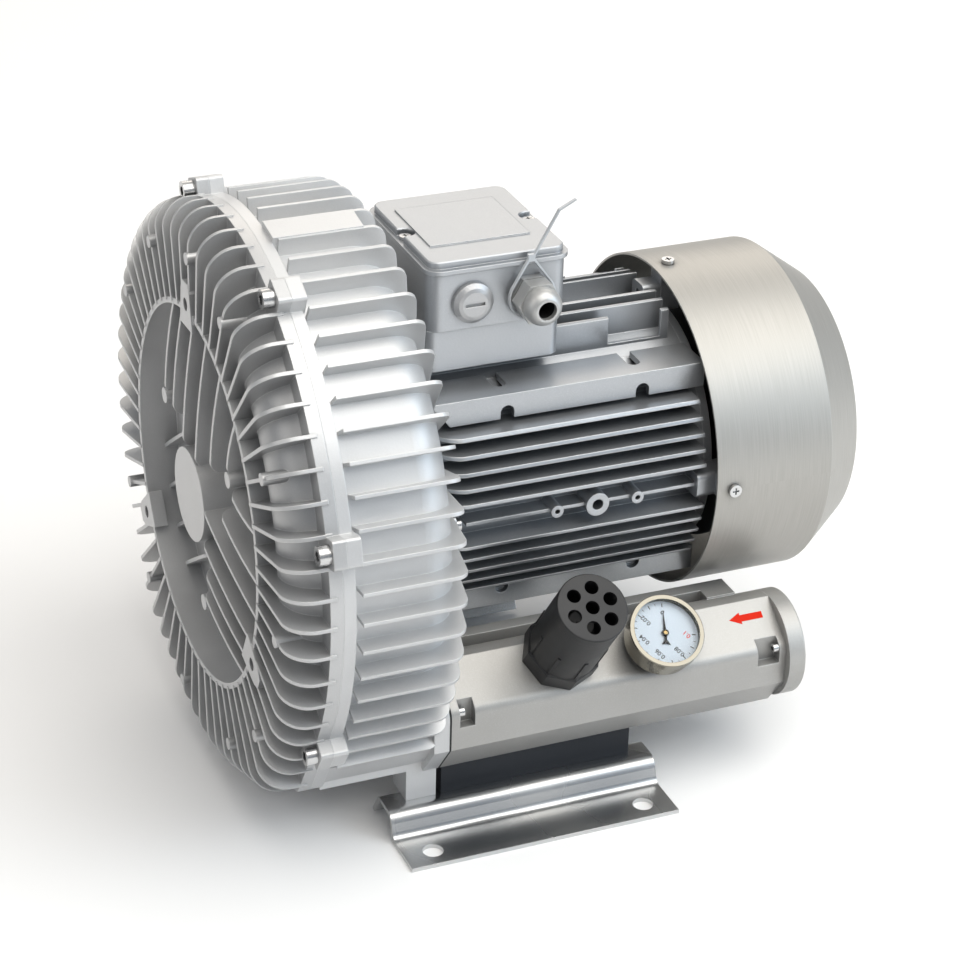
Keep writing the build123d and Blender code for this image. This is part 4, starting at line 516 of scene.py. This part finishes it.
def on_slope(angle, radius):
    """Vector in the slope's plane, at an angle in degrees from +X towards its upper edge."""
    turn = math.radians(angle)
    return Vector((1, 0, 0)) * (radius * math.cos(turn)) + SLOPE_UP * (radius * math.sin(turn))


def dial_face(frame):
    """Centre of the dial's upper face and the dial's radius."""
    points = [vertex.co - GAUGE_SEAT for vertex in frame["nodes"]["gauge_dial"].data.vertices]
    height = max(point.dot(SLOPE_NORMAL) for point in points)
    radius = max((point - SLOPE_NORMAL * point.dot(SLOPE_NORMAL)).length for point in points)
    return GAUGE_SEAT + SLOPE_NORMAL * height, radius


def scale_angle(share):
    """Angle on the slope of a share of the scale."""
    return DIAL_ZERO_ANGLE + DIAL_SWEEP * share


def dial_marks(centre, radius):
    """Long and short strokes round the scale."""
    bm = bmesh.new()
    for step in range(DIAL_STEPS + 1):
        angle = scale_angle(step / DIAL_STEPS)
        if step % DIAL_STEPS_PER_LONG_MARK == 0:
            length, width = LONG_MARK_LENGTH * radius, LONG_MARK_WIDTH
        else:
            length, width = SHORT_MARK_LENGTH * radius, SHORT_MARK_WIDTH
        outer = on_slope(angle, DIAL_MARK_END * radius)
        inner = on_slope(angle, DIAL_MARK_END * radius - length)
        side = on_slope(angle + 90, width / 2)
        raised_shape(bm, [inner - side, outer - side, outer + side, inner + side], centre, SLOPE_NORMAL)
    return finished_mesh(bm, "dial_marks")


def dial_number(text, share, centre, radius):
    """Mesh of one number, upright for a reader who sees the scale's gap below."""
    curve = bpy.data.curves.new("number", "FONT")
    curve.body = text
    curve.size = DIGIT_HEIGHT * FONT_SIZE_PER_DIGIT
    curve.align_x, curve.align_y = "CENTER", "CENTER"
    curve.extrude = PRINT_THICKNESS / 2
    curve.offset = DIGIT_BOLDNESS
    curve.resolution_u = 3
    shape = bpy.data.objects.new("number", curve)
    bpy.context.scene.collection.objects.link(shape)
    bpy.context.view_layer.update()
    mesh = bpy.data.meshes.new_from_object(shape.evaluated_get(bpy.context.evaluated_depsgraph_get()))
    bpy.data.objects.remove(shape)
    bpy.data.curves.remove(curve)

    up_angle = scale_angle(0.5)
    rightward, upward = on_slope(up_angle - 90, 1), on_slope(up_angle, 1)
    spot = centre + on_slope(scale_angle(share), DIGIT_CIRCLE * radius)
    spot += SLOPE_NORMAL * (PRINT_THICKNESS / 2)
    turn = Matrix((rightward, upward, SLOPE_NORMAL)).transposed().to_4x4()
    mesh.transform(Matrix.Translation(spot) @ turn)
    return mesh


def joined(meshes, name):
    """One mesh out of several, which are removed."""
    bm = bmesh.new()
    for mesh in meshes:
        bm.from_mesh(mesh)
        bpy.data.meshes.remove(mesh)
    whole = bpy.data.meshes.new(name)
    bm.to_mesh(whole)
    bm.free()
    return whole


def make_dial_print(frame, black, red):
    """Scale of a vacuum gauge: strokes, plain numbers, and the last number in red."""
    centre, radius = dial_face(frame)
    shares = [i / (DIAL_NUMBERS - 1) for i in range(DIAL_NUMBERS)]
    labels = ["%g" % round(DIAL_LAST * share, 2) for share in shares]
    numbers = [dial_number(label, share, centre, radius)
               for label, share in zip(labels[:-1], shares)]
    last = dial_number(labels[-1], shares[-1], centre, radius)
    new_piece("dial_scale", joined([dial_marks(centre, radius), *numbers], "dial_scale"), black,
              "blower")
    new_piece("dial_last_number", joined([last], "dial_last_number"), red, "blower")


def make_hub_cap(frame, brass):
    """Small turned cap over the pointer's hub."""
    points = [vertex.co - GAUGE_SEAT for vertex in frame["nodes"]["gauge_pointer"].data.vertices]
    height = max(point.dot(SLOPE_NORMAL) for point in points)
    base = GAUGE_SEAT + SLOPE_NORMAL * height
    bm = bmesh.new()
    rings = []
    for share, rise in HUB_CAP_PROFILE[1:]:
        level = base + SLOPE_NORMAL * (rise * MM)
        angles = (360 * i / HUB_CAP_SIDES for i in range(HUB_CAP_SIDES))
        rings.append([bm.verts.new(level + on_slope(angle, HUB_CAP_R * share)) for angle in angles])
    top = bm.verts.new(base + SLOPE_NORMAL * (HUB_CAP_PROFILE[0][1] * MM))
    for i in range(HUB_CAP_SIDES):
        after = (i + 1) % HUB_CAP_SIDES
        bm.faces.new((top, rings[0][i], rings[0][after]))
        for upper, lower in zip(rings, rings[1:]):
            bm.faces.new((upper[i], lower[i], lower[after], upper[after]))
    bm.faces.new(rings[-1][::-1])
    new_piece("pointer_cap", finished_mesh(bm, "pointer_cap"), brass, "gauge_needle")


def make_arrow(red):
    """Printed flow arrow that points at the blower housing."""
    to_plane = (ARROW_Y - GAUGE_SEAT.y) / SLOPE_UP.y
    base = Vector((0, GAUGE_SEAT.y, GAUGE_SEAT.z)) + SLOPE_UP * to_plane
    neck_x = ARROW_TIP_X + ARROW_HEAD_LENGTH
    outline = [
        (ARROW_TIP_X, 0), (neck_x, -ARROW_HEAD / 2), (neck_x, -ARROW_SHAFT / 2),
        (ARROW_TAIL_X, -ARROW_SHAFT / 2), (ARROW_TAIL_X, ARROW_SHAFT / 2),
        (neck_x, ARROW_SHAFT / 2), (neck_x, ARROW_HEAD / 2),
    ]
    corners = [Vector((x, 0, 0)) + SLOPE_UP * up for x, up in outline]
    bm = bmesh.new()
    raised_shape(bm, corners, base, SLOPE_NORMAL)
    new_piece("flow_arrow", finished_mesh(bm, "flow_arrow"), red, "blower")


# Stage, light and camera

def make_stage():
    """Pale floor. Light that falls on the object from below comes off a darker one, as off a bench."""
    bpy.ops.mesh.primitive_plane_add(size=FLOOR_SIZE, location=(0, 0, 0))
    floor = bpy.context.object
    floor.name = "floor"
    paint = new_material("floor_paint", FLOOR_SEEN, metallic=0.0, roughness=0.8)
    rays = paint.node_tree.nodes.new("ShaderNodeLightPath")
    seen = math_node(paint, "MAXIMUM", rays.outputs["Is Camera Ray"],
                     math_node(paint, "MAXIMUM", rays.outputs["Is Glossy Ray"],
                               rays.outputs["Is Transmission Ray"]))
    tone = blend_color(paint, seen, FLOOR_LIT, FLOOR_SEEN)
    link(paint, tone, shader_of(paint).inputs["Base Color"])
    floor.data.materials.append(paint)


def add_light(name, azimuth, elevation, distance, size, power, color):
    """Soft box that faces the object. Azimuth runs from -Y towards +X."""
    turn, rise = math.radians(azimuth), math.radians(elevation)
    away = Vector((math.sin(turn) * math.cos(rise), -math.cos(turn) * math.cos(rise), math.sin(rise)))
    data = bpy.data.lights.new(name, "AREA")
    data.shape = "RECTANGLE"
    data.size, data.size_y = size
    data.energy = power
    data.color = color
    lamp = bpy.data.objects.new(name, data)
    lamp.location = LIGHT_TARGET + away * distance
    lamp.rotation_euler = (-away).to_track_quat("-Z", "Y").to_euler()
    bpy.context.scene.collection.objects.link(lamp)


def make_world():
    """Studio room: dim and cool at the horizon, lighter and warmer overhead."""
    world = bpy.data.worlds.new("studio")
    bpy.context.scene.world = world
    world.use_nodes = True
    tree = world.node_tree
    place = tree.nodes.new("ShaderNodeTexCoord")
    parts = tree.nodes.new("ShaderNodeSeparateXYZ")
    tree.links.new(place.outputs["Generated"], parts.inputs["Vector"])
    ramp = tree.nodes.new("ShaderNodeValToRGB")
    ramp.color_ramp.elements[0].position = ROOM_TONES[0][0]
    ramp.color_ramp.elements[1].position = ROOM_TONES[-1][0]
    for height, _ in ROOM_TONES[1:-1]:
        ramp.color_ramp.elements.new(height)
    for element, (_, color) in zip(ramp.color_ramp.elements, ROOM_TONES):
        element.color = (*color, 1)
    tree.links.new(parts.outputs["Z"], ramp.inputs["Fac"])
    tree.links.new(ramp.outputs["Color"], tree.nodes["Background"].inputs["Color"])
    tree.nodes["Background"].inputs["Strength"].default_value = ROOM_STRENGTH


def make_lights():
    """A broad box overhead, a cool one at the front right, and warm ones at the left and behind."""
    add_light("window", azimuth=155, elevation=34, distance=2.8, size=(2.4, 1.4), power=17,
              color=(1.0, 0.92, 0.82))
    add_light("overhead", azimuth=25, elevation=64, distance=2.6, size=(3.0, 2.4), power=54,
              color=(1.0, 0.98, 0.935))
    add_light("front_right", azimuth=52, elevation=22, distance=2.8, size=(1.8, 2.0), power=27,
              color=(0.73, 0.87, 1.0))
    add_light("front_left", azimuth=-75, elevation=30, distance=2.8, size=(1.2, 1.8), power=6,
              color=(1.0, 0.96, 0.91))


def make_camera():
    """Camera of the photograph: round the target, rolled, then moved sideways in its own plane."""
    azimuth, elevation, roll = (math.radians(a) for a in (CAMERA_AZIMUTH, CAMERA_ELEVATION, CAMERA_ROLL))
    back = Vector((
        math.sin(azimuth) * math.cos(elevation),
        -math.cos(azimuth) * math.cos(elevation),
        math.sin(elevation),
    ))
    level = Vector((math.cos(azimuth), math.sin(azimuth), 0))
    above = back.cross(level)
    right = level * math.cos(roll) + above * math.sin(roll)
    up = above * math.cos(roll) - level * math.sin(roll)
    place = Vector(CAMERA_TARGET) + back * CAMERA_DISTANCE
    place += right * CAMERA_SHIFT_RIGHT + up * CAMERA_SHIFT_UP
    data = bpy.data.cameras.new("camera")
    data.lens = CAMERA_LENS
    data.sensor_width = CAMERA_SENSOR
    data.clip_start, data.clip_end = CAMERA_NEAR, CAMERA_FAR
    camera = bpy.data.objects.new("camera", data)
    turn = Matrix((right, up, back)).transposed().to_4x4()
    camera.matrix_world = Matrix.Translation(place * MM) @ turn
    bpy.context.scene.collection.objects.link(camera)
    bpy.context.scene.camera = camera


for old in list(bpy.data.objects):
    bpy.data.objects.remove(old)
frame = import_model()

make_camera()
materials = make_materials()
dress_nodes(frame, materials)
arrow_red = enamel("arrow_red", (0.74, 0.020, 0.003), roughness=0.75)
make_dial_print(frame, materials["pointer_black"], arrow_red)
make_hub_cap(frame, materials["brass"])
make_arrow(arrow_red)
make_stage()
make_world()
make_lights()
bpy.context.scene.view_settings.view_transform = "Standard"
